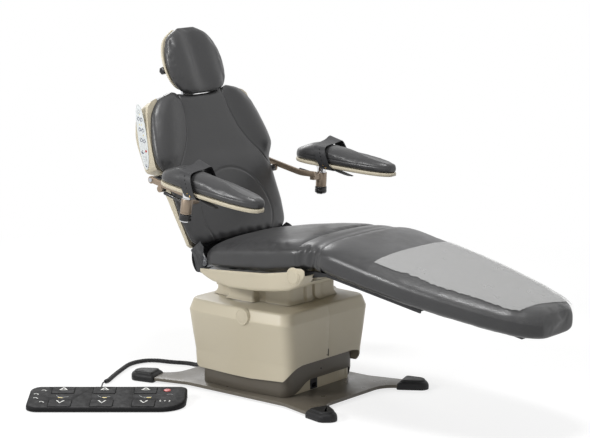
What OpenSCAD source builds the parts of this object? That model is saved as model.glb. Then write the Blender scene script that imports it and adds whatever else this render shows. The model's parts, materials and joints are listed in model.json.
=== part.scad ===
// A surgery chair with a telescoping pedestal, a seat that tilts, a back that reclines,
// a leg rest, a head rest, two arm boards and a corded foot control.
// Lengths are in millimetres. +X points to the foot end, +Y to the patient's left, +Z up.
// The origin is on the floor, under the middle of the base plate.

/* [Base plate] */
// Thickness of the steel base plate
plate_t = 12; // [8:1:14]
// Height of the plate's underside above the floor
plate_z = 7; // [6:1:10]
// Half length of the plate between its feet
plate_x = 357; // [345:1:370]
// Half width of the plate between its feet
plate_y = 254; // [246:1:262]
// Distance from the middle to a foot, along the chair
foot_x = 440; // [430:1:455]
// Distance from the middle to a foot, across the chair
foot_y = 266; // [256:1:276]
// Length of a moulded foot cap
cap_len = 110; // [100:1:120]
// Width of a moulded foot cap
cap_w = 98; // [90:1:106]
// Height of a foot cap
cap_h = 38; // [34:1:44]

/* [Pedestal covers] */
// Front face of the fixed cover
box_front = 195; // [188:1:198]
// Rear face of the fixed cover, behind the middle
box_rear = 205; // [198:1:208]
// Half width of the fixed cover at its middle
box_half = 206; // [200:1:208]
// Top of the fixed cover
box_top = 272; // [262:1:285]
// Sheet thickness of the covers
sheet_t = 2; // [1.5:0.5:3]
// Gap between two covers that slide past each other
cover_gap = 7.5; // [6:0.5:8]
// Top of the middle skirt with the chair at its lowest
skirt_top = 322; // [315:1:326]
// Wall of the moulded shroud
shroud_wall = 4; // [3:0.5:5]
// Half length of the shroud at its crease
shroud_x = 246; // [244:1:250]
// Half width of the shroud at its crease
shroud_y = 266; // [262:1:272]
// Height of the shroud's crease line
crease_z = 300; // [290:1:306]
// Height of the shroud's upper edge
shroud_edge_z = 336; // [332:1:340]
// Height of the shroud's roof
shroud_top = 351; // [348:1:354]
// Height of the shroud's lower edge along its sides
side_edge_z = 76; // [70:1:90]
// Height of the shroud's lower edge at its front and rear
end_edge_z = 142; // [130:1:155]
// Height of the neck cover at the rear
neck_top = 400; // [392:1:403]
// Height of the neck cover at the front
neck_front_top = 438; // [430:1:442]

/* [Lift column] */
// Outside width of the fixed column stage
column_w = 150; // [140:1:156]
// Wall of each column stage
column_wall = 6; // [5:1:8]
// Sliding gap between column stages
column_gap = 0.3; // [0.2:0.1:0.5]

/* [Seat] */
// Height of the tilt pin
tilt_z = 428; // [424:1:430]
// Tilt pin's place along the chair
tilt_x = -20; // [-24:1:-16]
// Half width of the seat cushion
seat_half = 270; // [264:1:276]
// Rear end of the seat cushion
seat_rear = -156; // [-158:1:-152]
// Front end of the seat cushion
seat_front = 330; // [324:1:333]
// Wall of the moulded tub
tub_wall = 3; // [2.5:0.5:4]

/* [Back] */
// Lean of the back from upright
lean = 22.45; // [20:0.05:26]
// Where the back meets the seat, along the chair
crease_x = -164; // [-168:1:-162]
// Height at which the back meets the seat
back_z = 542; // [538:1:546]
// Length of the back cushion at its middle
back_len = 578; // [570:1:584]
// Half width of the back at its bolsters
back_half = 330; // [324:1:336]
// Thickness of the back cushion's edge
back_t = 48; // [44:1:52]
// Depth of the upper back shell
shell_depth = 60; // [54:1:64]

/* [Head rest] */
// Height of the head rest cushion
head_len = 262; // [250:1:270]
// Half width of the head rest cushion
head_half = 155; // [148:1:160]
// Thickness of the head rest cushion
head_t = 44; // [38:1:50]

/* [Leg rest] */
// Hinge of the leg rest along the chair
knee_x = 286; // [284:1:288]
// Height of the leg rest's hinge
knee_z = 493; // [491:1:495]
// Rear end of the leg cushion
leg_rear = 372; // [370:1:378]
// Foot end of the leg cushion
leg_end = 1228; // [1200:1:1240]
// Half width of the leg cushion at its widest
leg_half = 280; // [272:1:284]

/* [Arm boards] */
// Distance of an arm post from the middle of the chair
post_y = 390; // [386:1:396]
// Arm post's place along the chair
post_x = -107; // [-110:1:-104]
// Distance of an arm bar from the middle of the chair
bar_y = 328; // [324:1:332]
// Outside diameter of the arm sleeve
sleeve_d = 42; // [40:1:46]
// Diameter of the arm post
post_d = 32; // [28:1:34]
// Length of an arm board
board_len = 461; // [440:1:470]
// Half width of an arm board
board_half = 64; // [60:1:68]
// Width of an arm strap
strap_w = 54; // [48:1:58]

/* [Foot control] */
// Length of the foot control
pedal_len = 575; // [560:1:590]
// Depth of the foot control
pedal_depth = 216; // [208:1:224]
// Height of the foot control's rear edge
pedal_rear_h = 41; // [39:1:45]
// Height of the foot control's front edge
pedal_front_h = 18; // [17:1:21]
// Width of a pedal key
key_w = 83; // [76:1:90]
// Depth of a pedal key
key_depth = 68; // [60:1:72]
// Outside diameter of the curly cord
curl_d = 15; // [14:0.5:16]
// Diameter of the wire in the curly cord
wire_d = 5.6; // [5:0.2:5.8]
// Number of curls in the cord
curls = 44; // [36:1:44]

/* [Hidden] */
beige = "#c8bea6";
taupe = "#5c564c";
plate_tone = "#6e695f";
black = "#1d1e20";
hide = "#4b4c4d";
steel = "#9ea1a4";
bronze = "#97836e";
grey = "#c9cccb";

// How far a cut runs past what it cuts
over = 2;
// Radial clearance of a pin that turns in its bore
run_fit = 0.05;
// Gap between neighbours that only lie beside each other
lie_gap = 0.3;
// How far the tub, the board, the rails and the actuators lie inside what is outside them
tub_inset = 8;
board_inset = 47;
rail_inset = 80;
actuator_inset = 34;
// Half width of the tub under the seat
tub_half = seat_half - tub_inset;
// Sides of a turned piece and of a small turned piece
fine = 64;
coarse = 32;

// Levelling feet
stud_r = 6;
pad_r = 24;
nut_r = 11;
nut_h = 9;
cap_corner = 30;
cap_floor = 1;
cap_step = 8;
// Corners of a foot cap, as shares of its length and width
cap_shares = [[-0.36, -0.66], [0.64, 0.08], [0.15, 0.57], [-0.66, 0.36]];
// How far a cap reaches past the plate inside it
cap_wall = 7;
plate_in_y = 90;
plate_in_x = 205;
plate_curve = 90;
plate_top = plate_z + plate_t;

// Covers
bow = 12;
side_bow_r = 900;
box_corner = 34;
skirt_corner = 42;
shroud_corner = 50;
skirt_half = box_half + cover_gap + sheet_t;
skirt_front = box_front + cover_gap + sheet_t;
skirt_rear = box_rear + cover_gap + sheet_t;
skirt_foot = 20;
shroud_step = 42;
shroud_rear = shroud_x + 4;
roof_hole_x = 118;
roof_crown = 10;
seam = 0.15;
shroud_band = 8;
round_cap_r = 29;
round_cap_x = 47;
round_cap_z = 313;
round_cap_depth = 36;
round_cap_proud = 2;

// Inlet in the fixed cover
inlet_y = -32;
inlet_w = 41;
inlet_h = 43;
inlet_z = 21;
inlet_depth = 34;
inlet_flange = 3;
socket_w = 25;
socket_h = 17;
socket_depth = 16;
socket_rise = 5;
blade_w = 4;
blade_t = 2;
blade_len = 12;
rocker_w = 18;
rocker_h = 10;
rocker_d = 7;
rocker_rise = 32;
rocker_gap = 1;
panel_y = 117;
panel_w = 40;
panel_h = 42;

// Lift column
flange_t = 8;
flange_w = 206;
column_top = 262;
middle_w = column_w - 2 * (column_wall + column_gap);
inner_w = middle_w - 2 * (column_wall + column_gap);
middle_foot = 30;
middle_top = 292;
inner_foot = 40;
deck_z = 312;
deck_t = 8;
deck_x = 300;
deck_y = 250;
deck_post_r = 8;
deck_post_x = 134;
deck_post_y = 111;
ear_y = 88;
ear_t = 12;
ear_foot = 70;
ear_r = 18;
tilt_pin_r = 9;
roof_hole_y = ear_y + ear_t + 2 * over;
lug_y = ear_y + ear_t + lie_gap;
lug_t = 10;
motor_r = 31;
motor_h = 120;
motor_y = 45;
motor_foot = 9;
motor_x = -flange_w / 2 - motor_r - motor_foot - over;
ctrl_x = flange_w / 2 + over;
ctrl_w = 75;
ctrl_y = 15;
ctrl_len = 150;
ctrl_h = 55;
ctrl_lid = 4;

// Neck cover
neck_wall = 3;
neck_flare = 9;
neck_flare_h = 14;
neck_rear = 198;
neck_half = 145;
neck_box = 176;
neck_front = 166;

// Seat
board_t = 8;
seat_board_half = tub_half - board_inset;
board_rear = -148;
board_front = 250;
rail_y = tub_half - rail_inset;
rail_t = 16;
rail_h = 26;
arm_y = rail_y + rail_t + 1;
arm_t = 8;
eye_r = 14;
pin_r = 7;
back_pin_x = -190;
back_pin_z = 475;
pivot_cap_r = 29;
pivot_cap_t = 5;
actuator_r = 14;
actuator_y = tub_half - actuator_inset;
actuator_z = 450;
tub_corner = 45;
tub_in = 24;
tub_front = 336;
// Ribs between the tub and the board, as shares of the board's reach
tub_rib_shares = [-0.52, 0.24, 0.68];
// Underside of the seat cushion: place along the chair and height
under_line = [[-165, 466], [-135, 468], [153, 489], [345, 522], [360, 525]];
// Lower edge of the tub
tub_line = [[-165, 459], [-158, 449], [-140, 437], [-108, 425], [-24, 411], [104, 415],
  [200, 427], [261, 439], [310, 462], [336, 500]];
// Upper edge of the seat cushion
seat_line = [[-164, 542], [-100, 564], [37, 590], [170, 610], [300, 623], [332, 624]];
// Half width of the seat cushion as shares of its widest
seat_width_shares = [[-0.497, 0.83], [-0.3636, 0.92], [-0.1818, 0.97], [0, 1], [0.8788, 1],
  [1.0061, 0.97]];
seat_crown = 8;

// Leg rest
leg_line = [[372, 621], [400, 627], [440, 626], [480, 620], [1200, 468], [1230, 462]];
leg_under = [[372, 516], [1200, 370], [1230, 365]];
leg_width_shares = [[0.3029, 0.97], [0.3664, 1], [0.4886, 1], [0.6107, 0.982], [0.7248, 0.91],
  [0.8469, 0.786], [0.9283, 0.65], [0.9691, 0.53], [1, 0.36]];
leg_crown = 8;
leg_board_t = 8;
leg_board_rear = 390;
leg_board_end = 1150;
leg_step_x = 800;
leg_rail_h = 14;
cover_rear = 620;
cover_t = 1.2;

// Back
back_foot = 6;
back_peak = 26;
back_crown = 12;
bolster = 20;
bolster_foot = 300;
bolster_run = 60;
channel = 5;
channel_half = 16;
// Half width of the back cushion up its height
back_width_shares = [[0, 0.77], [0.0692, 0.82], [0.2076, 0.864], [0.5017, 0.87], [0.5502, 0.955],
  [0.5969, 1], [0.6696, 0.99], [0.7266, 0.97], [0.8201, 0.925], [0.9135, 0.864], [0.9689, 0.79],
  [1.0156, 0.70], [1.045, 0.5]];
// Seam of each bolster: height and distance from the middle
seam_line = [[280, 255], [306, 236], [371, 180], [427, 146], [501, 123], [620, 118]];
plane_gap = 2;
panel_n = back_t + plane_gap;
// Depth and half width of the back shell up its height
shell_depth_shares = [[0.0311, 0.36], [0.1073, 0.38], [0.237, 0.47], [0.4325, 0.7],
  [0.5398, 0.9], [0.564, 1], [0.8997, 1], [0.9689, 0.8], [0.9965, 0.52]];
shell_width_shares = [[0.0311, 0.76], [0.237, 0.795], [0.5294, 0.81], [0.5571, 0.9],
  [0.5796, 0.915], [0.9429, 0.915], [0.9689, 0.88], [0.9965, 0.74]];
shell_front_line = [[0, 50], [505, 50], [530, 34], [576, 16]];
shell_rows = [18, 40, 62, 100, 137, 190, 250, 306, 314, 322, 345, 400, 460, 520, 545, 560, 570, 576];
shell_wall = 3;
shell_square = 6;
back_board_t = 6;
back_board_half = tub_half - actuator_inset - shell_wall;
back_board_foot = 24;
back_board_top = 535;
back_rail_t = 12;
back_rail_y = rail_y + arm_t;
back_rail_foot = 120;
arm_pin_x = -335;
arm_pin_z = 787;
arm_pin_r = 8;
arm_boss_r = 12;
touch_len = 246;
touch_w = 44;
touch_t = 1.6;
touch_h = 456;
touch_n = 80;
touch_lean = 4;
hold_fit = 0.02;
soft_gap = 0.5;
slot_gap = 0.5;

// Head rest, in the frame of the back
head_foot = 577;
head_rear = 11;
head_front = head_t - head_rear;
head_wing = 10;
head_width_shares = [[0, 0.3], [0.042, 0.58], [0.2176, 0.9], [0.4847, 1], [0.7748, 0.9],
  [0.9466, 0.55], [1, 0.3]];
head_dish_foot = 16;
head_shell_n = head_rear + soft_gap;
head_shell_t = 14;
// Each ring of the dish behind the head cushion: depth and size
head_dish_shares = [[1, 0.62], [0.93, 0.78], [0.7, 0.92], [0.3, 0.985], [0.07, 0.985], [0, 0.965]];
head_pin_n = 40;
barrel_r = 9;
head_pin_h = head_foot + head_len / 2 - 2 * barrel_r;
head_pin_r = 5;
ear_in = 31;
ear_out = 39;
head_knob_y = 108;
head_knob_r = 14;
head_knob_w = 22;
stay_half = 28;
stay_n = 64;
stay_t = 8;
stay_foot = 385;
stay_rise = 100;
stay_bend = head_pin_h - stay_rise;
sleeve_wall = 5;
sleeve_foot = 400;
sleeve_top = 540;

// Arm boards, in the frame of the post
right_lean = 8;
left_lean = 3;
bar_t = 10;
bar_h = 22;
elbow_x = -170;
elbow_z = 752;
bar_end_x = -85;
bar_end_z = 750;
post_z = 720;
block_in = 11;
sleeve_low = -25;
sleeve_high = 30;
collar_r = 23;
collar_low = -50;
lever_r = 5;
lever_len = 92;
lever_rise = 6;
clip_r = 19;
clip_t = 4;
flare_r = 30;
flare_low = 34;
tray_low = 65;
tray_t = 14;
pad_top = 146;
pad_foot = -114;
pad_groove = 9;
arm_knob_x = -293;
arm_knob_z = 757;
arm_knob_d = 25;
arm_knob_w = 16;
// Half width of an arm board along its length, from the post
board_shares = [[-0.2473, 0.3], [-0.2299, 0.55], [-0.1952, 0.76], [-0.0868, 0.97], [0.0868, 1],
  [0.2386, 0.98], [0.3688, 0.92], [0.4989, 0.8], [0.6074, 0.62], [0.6941, 0.38], [0.7527, 0.12]];
strap_t = 2.5;
strap_x = 74;
strap_slant = 0.5;
strap_half = 66.6;
strap_corner = 14;
hole_r = 2;

// Foot control, in its own frame
pedal_x = -292;
pedal_y = -624;
pedal_turn = 39.3;
pedal_foot_t = 2;
pedal_foot_r = 11;
key_step = 151;
key_shift = -15;
key_rear = 66;
key_front = -62;
key_t = 5;
key_proud = 1.5;
key_pocket = 9;
key_gap = 1;
key_stem_r = 7;
key_stem = 5;
stop_u = 215;
stop_v = 66;
stop_r = 13;
pedal_slope = atan((pedal_rear_h - pedal_front_h) / pedal_depth);

// Cord
gland_y = -50;
gland_z = 34;
gland_r = 9;
gland_len = 20;
curl_r = (curl_d - wire_d) / 2;
// Way of the cord's middle line: a thin lead, the curls, and a thin tail
lead = [[-206, -50, 34], [-226, -50, 34], [-262, -48, 30], [-310, -40, 26], [-350, -30, 25],
  [-385, -22, 14], [-420, -16, 9]];
route = [[-453, -21, 9], [-511, -46, 9], [-573, -67, 9], [-606, -104, 9], [-612, -171, 9],
  [-571, -270, 9], [-534, -346, 9], [-506, -400, 9], [-502, -424, 9]];
tail = [[-493, -444, 9], [-476, -464, 9], [-446, -500, 9], [-420, -531, 12], [-404, -550.2, 16],
  [-388.8, -568.8, 16]];

// Points
function unit(v) = v / norm(v);
function mix(a, b, t) = a + (b - a) * t;
function edge(t, p) = pow(max(0, 1 - pow(abs(t), p)), 1 / p);
// Points of a rounded corner at q between p and s
function corner(p, q, s, r, n) = r == 0 ? [q] : let(a = unit(p - q), b = unit(s - q),
  half = acos(max(-1, min(1, a * b))) / 2, d = r / tan(half), c = q + unit(a + b) * r / sin(half),
  p1 = q + a * d, p2 = q + b * d, a1 = atan2(p1.y - c.y, p1.x - c.x),
  a2 = atan2(p2.y - c.y, p2.x - c.x), turn = ((a2 - a1 + 540) % 360) - 180)
  [for (i = [0:n]) c + r * [cos(a1 + turn * i / n), sin(a1 + turn * i / n)]];
function rounded(pts, radii, n = 5) = let(m = len(pts)) [for (i = [0:m - 1])
  each corner(pts[(i + m - 1) % m], pts[i], pts[(i + 1) % m], is_list(radii) ? radii[i] : radii, n)];
function box(x, y) = [[x, -y], [x, y], [-x, y], [-x, -y]];
function flipped(pts) = [for (i = [len(pts) - 1:-1:0]) [pts[i].x, -pts[i].y]];
function both(pts) = concat(flipped(pts), pts);
// Plan of a bowed cover: front, rear, half width at its middle and at its corners
function plan(xf, xr, hm, he, r) = rounded([[xf, -he], [xf, he], [0, hm], [-xr, he], [-xr, -he],
  [0, -hm]], [r, r, side_bow_r, r, r, side_bow_r], 5);
// Half of such a plan, as an open path from the front seam to the rear seam
function half_plan(xf, xr, hm, he, r) = concat([[xf, seam]],
  corner([xf, seam], [xf, he], [0, hm], r, 5), corner([xf, he], [0, hm], [-xr, he], side_bow_r, 4),
  corner([0, hm], [-xr, he], [-xr, seam], r, 5), [[-xr, seam]]);
// A band between two lines, one height below the other
function band(line, xs, t) = concat([for (x = xs) [x, lookup(x, line)]],
  [for (i = [len(xs) - 1:-1:0]) [xs[i], lookup(xs[i], line) - t]]);

function faced(faces, turned) = turned
  ? [for (f = faces) [for (i = [len(f) - 1:-1:0]) f[i]]] : faces;

// Solids from rings of points
module loft(rings, turned = false) {
  n = len(rings[0]);
  m = len(rings);
  side = [for (i = [0:m - 2]) for (j = [0:n - 1]) let(a = i * n + j, b = i * n + (j + 1) % n)
    each [[a, b, b + n], [a, b + n, a + n]]];
  caps = [[for (j = [n - 1:-1:0]) j], [for (j = [0:n - 1]) (m - 1) * n + j]];
  polyhedron([for (r = rings) each r], faced(concat(caps, side), turned), convexity = 8);
}
// A sheet between two grids of points; closed sheets run round in a loop
module sheet(a, b, closed = false, turned = false) {
  m = len(a);
  n = len(a[0]);
  k = m * n;
  last_j = closed ? n - 1 : n - 2;
  skin = [for (i = [0:m - 2]) for (j = [0:last_j]) let(p = i * n + j, q = i * n + (j + 1) % n)
    each [[p, q, q + n], [p, q + n, p + n]]];
  lining = [for (i = [0:m - 2]) for (j = [0:last_j])
    let(p = k + i * n + j, q = k + i * n + (j + 1) % n) each [[p, q + n, q], [p, p + n, q + n]]];
  first = [for (j = [0:last_j]) let(q = (j + 1) % n) each [[j, k + j, k + q], [j, k + q, q]]];
  last = [for (j = [0:last_j]) let(p = (m - 1) * n + j, q = (m - 1) * n + (j + 1) % n)
    each [[p, q, k + q], [p, k + q, k + p]]];
  ends = closed ? [] : [for (i = [0:m - 2]) let(p = i * n, q = i * n + n - 1)
    each [[p, p + n, k + p + n], [p, k + p + n, k + p], [q, k + q, k + q + n], [q, k + q + n, q + n]]];
  polyhedron(concat([for (r = a) each r], [for (r = b) each r]),
    faced(concat(skin, lining, first, last, ends), turned), convexity = 8);
}
// A cushion between a front and a back surface, both functions of v from 0 to 1 and s from -1 to 1
module pillow(front, back, nv, ns, turned = false) {
  vs = [for (i = [0:nv]) (1 - cos(180 * i / nv)) / 2];
  ss = [for (i = [0:ns]) sin(180 * i / ns - 90)];
  rows = [for (v = vs) concat([for (s = ss) front(v, s)],
    [for (i = [ns - 1:-1:1]) back(v, ss[i])])];
  n = 2 * ns;
  m = nv + 1;
  side = [for (i = [0:m - 2]) for (j = [0:n - 1]) let(a = i * n + j, b = i * n + (j + 1) % n)
    each [[a, b, b + n], [a, b + n, a + n]]];
  z = (m - 1) * n;
  caps = [for (j = [0:ns - 1]) let(a = j, b = j + 1, c = (n - j - 1) % n, d = (n - j) % n)
    each (j == 0 ? [[a, c, b], [z + a, z + b, z + c]]
    : j == ns - 1 ? [[a, d, b], [z + a, z + b, z + d]]
    : [[a, d, c], [a, c, b], [z + a, z + c, z + d], [z + a, z + b, z + c]])];
  polyhedron([for (r = rows) each r], faced(concat(side, caps), turned), convexity = 6);
}
module mirrored() {
  children();
  mirror([0, 1, 0]) children();
}
module upright(y, t) {
  translate([0, y + t, 0]) rotate([90, 0, 0]) linear_extrude(t) children();
}
module across(x, y, z, r, len, sides = fine) {
  translate([x, y, z]) rotate([-90, 0, 0]) cylinder(r = r, h = len, $fn = sides);
}
module on_back() {
  translate([crease_x, 0, back_z]) rotate([0, -lean, 0]) children();
}
module four_feet() {
  for (x = [0, 1])
    for (y = [0, 1])
      mirror([x, 0, 0]) mirror([0, y, 0]) children();
}

// Base
function foot_share(i, g) = [foot_x, foot_y]
  + [cap_shares[i].x * (cap_len + g), cap_shares[i].y * (cap_w + g)];
function plate_quarter(g) = [[plate_x + g, foot_y - plate_in_y - g], foot_share(1, 2 * (g - cap_wall)),
  foot_share(2, 2 * (g - cap_wall)), [foot_x - plate_in_x - g, plate_y + g]];
function plate_line(g) = let(q = plate_quarter(g), r = [plate_curve, cap_corner - cap_wall,
  cap_corner - cap_wall, plate_curve]) rounded(concat(q, [for (i = [3:-1:0]) [-q[i].x, q[i].y]],
  [for (p = q) [-p.x, -p.y]], [for (i = [3:-1:0]) [q[i].x, -q[i].y]]),
  concat(r, [r[3], r[2], r[1], r[0]], r, [r[3], r[2], r[1], r[0]]), 5);
function cap_line(g) = rounded([for (i = [0:3]) foot_share(i, -2 * g)],
  [cap_step, cap_corner, cap_corner, cap_step], 4);

module base_plate() {
  color(plate_tone) difference() {
    translate([0, 0, plate_z]) linear_extrude(plate_t) polygon(plate_line(0));
    four_feet() translate([foot_x, foot_y, plate_z - over])
      cylinder(r = stud_r + lie_gap, h = plate_t + 2 * over, $fn = coarse);
  }
}
module levelling_feet() {
  color(steel) four_feet() translate([foot_x, foot_y, 0]) {
    cylinder(r = pad_r, h = plate_z, $fn = fine);
    cylinder(r = stud_r, h = plate_top + nut_h + over, $fn = coarse);
    translate([0, 0, plate_top]) cylinder(r = nut_r, h = nut_h, $fn = 6);
  }
}
module foot_caps() {
  color(black) four_feet() difference() {
    union() {
      translate([0, 0, cap_floor]) linear_extrude(cap_h - 1.5 * cap_step - cap_floor)
        polygon(cap_line(0));
      linear_extrude(cap_h - cap_step / 2) polygon(cap_line(cap_step / 2));
      linear_extrude(cap_h) polygon(cap_line(cap_step));
    }
    translate([0, 0, -over]) linear_extrude(cap_floor + over) polygon(cap_line(-over));
    translate([0, 0, plate_z - lie_gap]) linear_extrude(plate_t + lie_gap)
      polygon(plate_line(slot_gap));
    translate([foot_x, foot_y, -over])
      cylinder(r = pad_r + over, h = plate_z + over, $fn = fine);
    translate([foot_x, foot_y, -over])
      cylinder(r = nut_r + over, h = plate_top + nut_h + 3 * over, $fn = coarse);
  }
}
module stage(w, z0, z1) {
  translate([0, 0, z0]) linear_extrude(z1 - z0) difference() {
    polygon(rounded(box(w / 2, w / 2), 2 * column_wall, 4));
    polygon(rounded(box(w / 2 - column_wall, w / 2 - column_wall), column_wall, 4));
  }
}
module lift_column_outer() {
  color(steel) {
    stage(column_w, plate_top, column_top);
    translate([0, 0, plate_top]) linear_extrude(flange_t) difference() {
      polygon(rounded(box(flange_w / 2, flange_w / 2), 2 * column_wall, 4));
      polygon(rounded(box(column_w / 2 - column_wall, column_w / 2 - column_wall), column_wall, 4));
    }
    four_feet() translate([flange_w / 2 - 2 * column_wall, flange_w / 2 - 2 * column_wall,
      plate_top + flange_t]) cylinder(r = stud_r + over, h = stud_r, $fn = 6);
  }
}
module lift_column_middle() {
  color(steel) {
    stage(middle_w, middle_foot, middle_top);
    translate([0, 0, middle_top - column_wall]) linear_extrude(column_wall) difference() {
      polygon(plan(skirt_front - sheet_t, skirt_rear - sheet_t, skirt_half - sheet_t,
        skirt_half - sheet_t - bow, skirt_corner - sheet_t));
      polygon(rounded(box(middle_w / 2 - column_wall, middle_w / 2 - column_wall), column_wall, 4));
    }
  }
}
module lift_column_inner() {
  color(steel) stage(inner_w, inner_foot, deck_z);
}
module lift_motor() {
  color(black) translate([motor_x, motor_y, plate_top]) {
    cylinder(r = motor_r + motor_foot, h = motor_foot, $fn = fine);
    cylinder(r = motor_r, h = motor_h, $fn = fine);
    translate([0, 0, motor_h]) cylinder(r = motor_r - motor_foot, h = motor_foot, $fn = fine);
  }
}
module control_box() {
  color(grey) translate([ctrl_x, ctrl_y, plate_top]) {
    cube([ctrl_w, ctrl_len, ctrl_h]);
    translate([ctrl_lid, ctrl_lid, 0])
      cube([ctrl_w - 2 * ctrl_lid, ctrl_len - 2 * ctrl_lid, ctrl_h + ctrl_lid]);
  }
}
module chassis_box() {
  color(taupe) difference() {
    translate([0, 0, plate_top]) linear_extrude(box_top - plate_top) difference() {
      polygon(plan(box_front, box_rear, box_half, box_half - bow, box_corner));
      polygon(plan(box_front - sheet_t, box_rear - sheet_t, box_half - sheet_t,
        box_half - sheet_t - bow, box_corner - sheet_t));
    }
    translate([box_front - 2 * sheet_t, inlet_y - inlet_w / 2 - lie_gap, plate_top - over])
      cube([4 * sheet_t, inlet_w + 2 * lie_gap, inlet_z + inlet_h + lie_gap + over - plate_top]);
    translate([box_front - 2 * sheet_t, panel_y - lie_gap, plate_top - over])
      cube([4 * sheet_t, panel_w + 2 * lie_gap, panel_h + lie_gap + over]);
    across_x(-box_rear - 2 * sheet_t, gland_y, gland_z, gland_r - over, 4 * sheet_t);
  }
}
module across_x(x, y, z, r, len, sides = coarse) {
  translate([x, y, z]) rotate([0, 90, 0]) cylinder(r = r, h = len, $fn = sides);
}
module access_panel() {
  color(taupe) {
    translate([box_front - sheet_t, panel_y, plate_top]) cube([sheet_t, panel_w, panel_h]);
    translate([box_front - 2 * sheet_t, panel_y - 2 * sheet_t, plate_top])
      cube([sheet_t, panel_w + 4 * sheet_t, panel_h + 2 * sheet_t]);
  }
}
module power_inlet() {
  mid_z = inlet_z + rocker_rise;
  color(black) difference() {
    union() {
      translate([box_front - inlet_depth, inlet_y - inlet_w / 2, inlet_z])
        cube([inlet_depth + sheet_t / 2, inlet_w, inlet_h]);
      translate([box_front - sheet_t - inlet_flange, inlet_y - inlet_w / 2 - inlet_flange, plate_top])
        cube([inlet_flange, inlet_w + 2 * inlet_flange, inlet_z + inlet_h + inlet_flange - plate_top]);
    }
    translate([box_front - socket_depth, inlet_y - socket_w / 2, inlet_z + socket_rise])
      cube([socket_depth + over, socket_w, socket_h]);
    translate([box_front - rocker_d - rocker_gap, inlet_y - rocker_w / 2 - rocker_gap / 2,
      mid_z - rocker_h / 2 - rocker_gap])
      cube([rocker_d + over + rocker_gap, rocker_w + rocker_gap, rocker_h + 2 * rocker_gap]);
    across(box_front - rocker_d / 2, inlet_y - rocker_w / 2 - 2 * over, mid_z, blade_t / 2 + run_fit,
      rocker_w + 4 * over, coarse);
  }
  color(black) for (y = [-1, 0, 1])
    translate([box_front - socket_depth - rocker_gap, inlet_y + y * rocker_d - blade_t / 2,
      inlet_z + socket_rise + (socket_h - blade_w) / 2 + (y == 0 ? blade_w / 2 : -blade_w / 2)])
      cube([blade_len + rocker_gap, blade_t, blade_w]);
}
module inlet_rocker() {
  mid_z = inlet_z + rocker_rise;
  color(black) {
    translate([box_front - rocker_d, inlet_y - rocker_w / 2, mid_z - rocker_h / 2])
      cube([rocker_d, rocker_w, rocker_h]);
    across(box_front - rocker_d / 2, inlet_y - rocker_w / 2 - over, mid_z, blade_t / 2,
      rocker_w + 2 * over, coarse);
  }
}
module cord_gland() {
  color(black) difference() {
    union() {
      across_x(-box_rear - gland_len, gland_y, gland_z, gland_r - 2 * over, gland_len);
      across_x(-box_rear - gland_len / 2, gland_y, gland_z, gland_r, gland_len / 2);
      across_x(-box_rear - over, gland_y, gland_z, gland_r - over - lie_gap, over + 3 * sheet_t);
      across_x(-box_rear + sheet_t, gland_y, gland_z, gland_r, 2 * sheet_t);
    }
    across_x(-box_rear - gland_len - over, gland_y, gland_z, wire_d / 2 + lie_gap / 2,
      gland_len + 3 * over);
  }
}
// Lower edge of the skirt at its ends, as shares of its half width and foot
skirt_low_shares = [[1.01, 1.4], [0.98, 2], [0.944, 2.6], [0.889, 3], [0.835, 3.15], [-0.278, 3.15],
  [-0.39, 2.9], [-0.473, 2.45], [-0.575, 1.8], [-0.696, 1.25], [-0.821, 1], [-1.01, 1]];
module middle_skirt() {
  low = concat([[-skirt_half - over, 0], [skirt_half + over, 0]],
    [for (q = skirt_low_shares) [q.x * skirt_half, q.y * skirt_foot]]);
  color(taupe) difference() {
    translate([0, 0, skirt_foot]) linear_extrude(skirt_top - skirt_foot) difference() {
      polygon(plan(skirt_front, skirt_rear, skirt_half, skirt_half - bow, skirt_corner));
      polygon(plan(skirt_front - sheet_t, skirt_rear - sheet_t, skirt_half - sheet_t,
        skirt_half - sheet_t - bow, skirt_corner - sheet_t));
    }
    for (x = [-skirt_rear - skirt_corner / 2, skirt_front - skirt_corner / 2])
      translate([x, 0, 0]) rotate([90, 0, 90]) linear_extrude(skirt_corner) polygon(low);
  }
}

// Moving carriage
module carriage_frame() {
  color(steel) {
    translate([-deck_x / 2, -deck_y / 2, deck_z]) cube([deck_x, deck_y, deck_t]);
    mirrored() difference() {
      union() {
        upright(ear_y, ear_t) polygon([[tilt_x - ear_foot, deck_z + deck_t],
          [tilt_x + ear_foot, deck_z + deck_t], [tilt_x + ear_r, tilt_z], [tilt_x - ear_r, tilt_z]]);
        across(tilt_x, ear_y, tilt_z, ear_r, ear_t);
      }
      across(tilt_x, ear_y - over, tilt_z, tilt_pin_r + run_fit, ear_t + 2 * over);
    }
    for (x = [-1, 1])
      for (y = [-1, 1]) translate([x * deck_post_x, y * deck_post_y, deck_z + deck_t])
        cylinder(r = deck_post_r, h = shroud_top - shroud_wall - deck_z - deck_t, $fn = coarse);
  }
}
// Sections of the shroud: front, rear, half width at its middle, at its ends, corner, height
function shroud_at(x, y) = let(t = (abs(x) - skirt_front * 0.8) / (skirt_front * 0.34))
  mix(side_edge_z, end_edge_z, t <= 0 ? 0 : t >= 1 ? 1 : (1 - cos(180 * t)) / 2);
shroud_shares = [[0.967, 0.964, 0.887, 0.823, 0.8], [0.967, 0.964, 0.887, 0.823, 0.8],
  [0.984, 0.98, 0.947, 0.88, 0.88], [0.996, 0.996, 0.996, 0.925, 0.96], [1, 1, 1, 0.929, 0.96],
  [0.988, 0.988, 0.985, 0.91, 0.96], [0.87, 0.888, 0.857, 0.759, 0.88], [0.837, 0.856, 0.823, 0.729, 0.84],
  [0.772, 0.8, 0.677, 0.647, 0.8]];
shroud_zs = [0, 0, crease_z - 10 * shroud_band, crease_z - shroud_band, crease_z, crease_z + shroud_band,
  shroud_edge_z, shroud_top - shroud_band, shroud_top];
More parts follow.
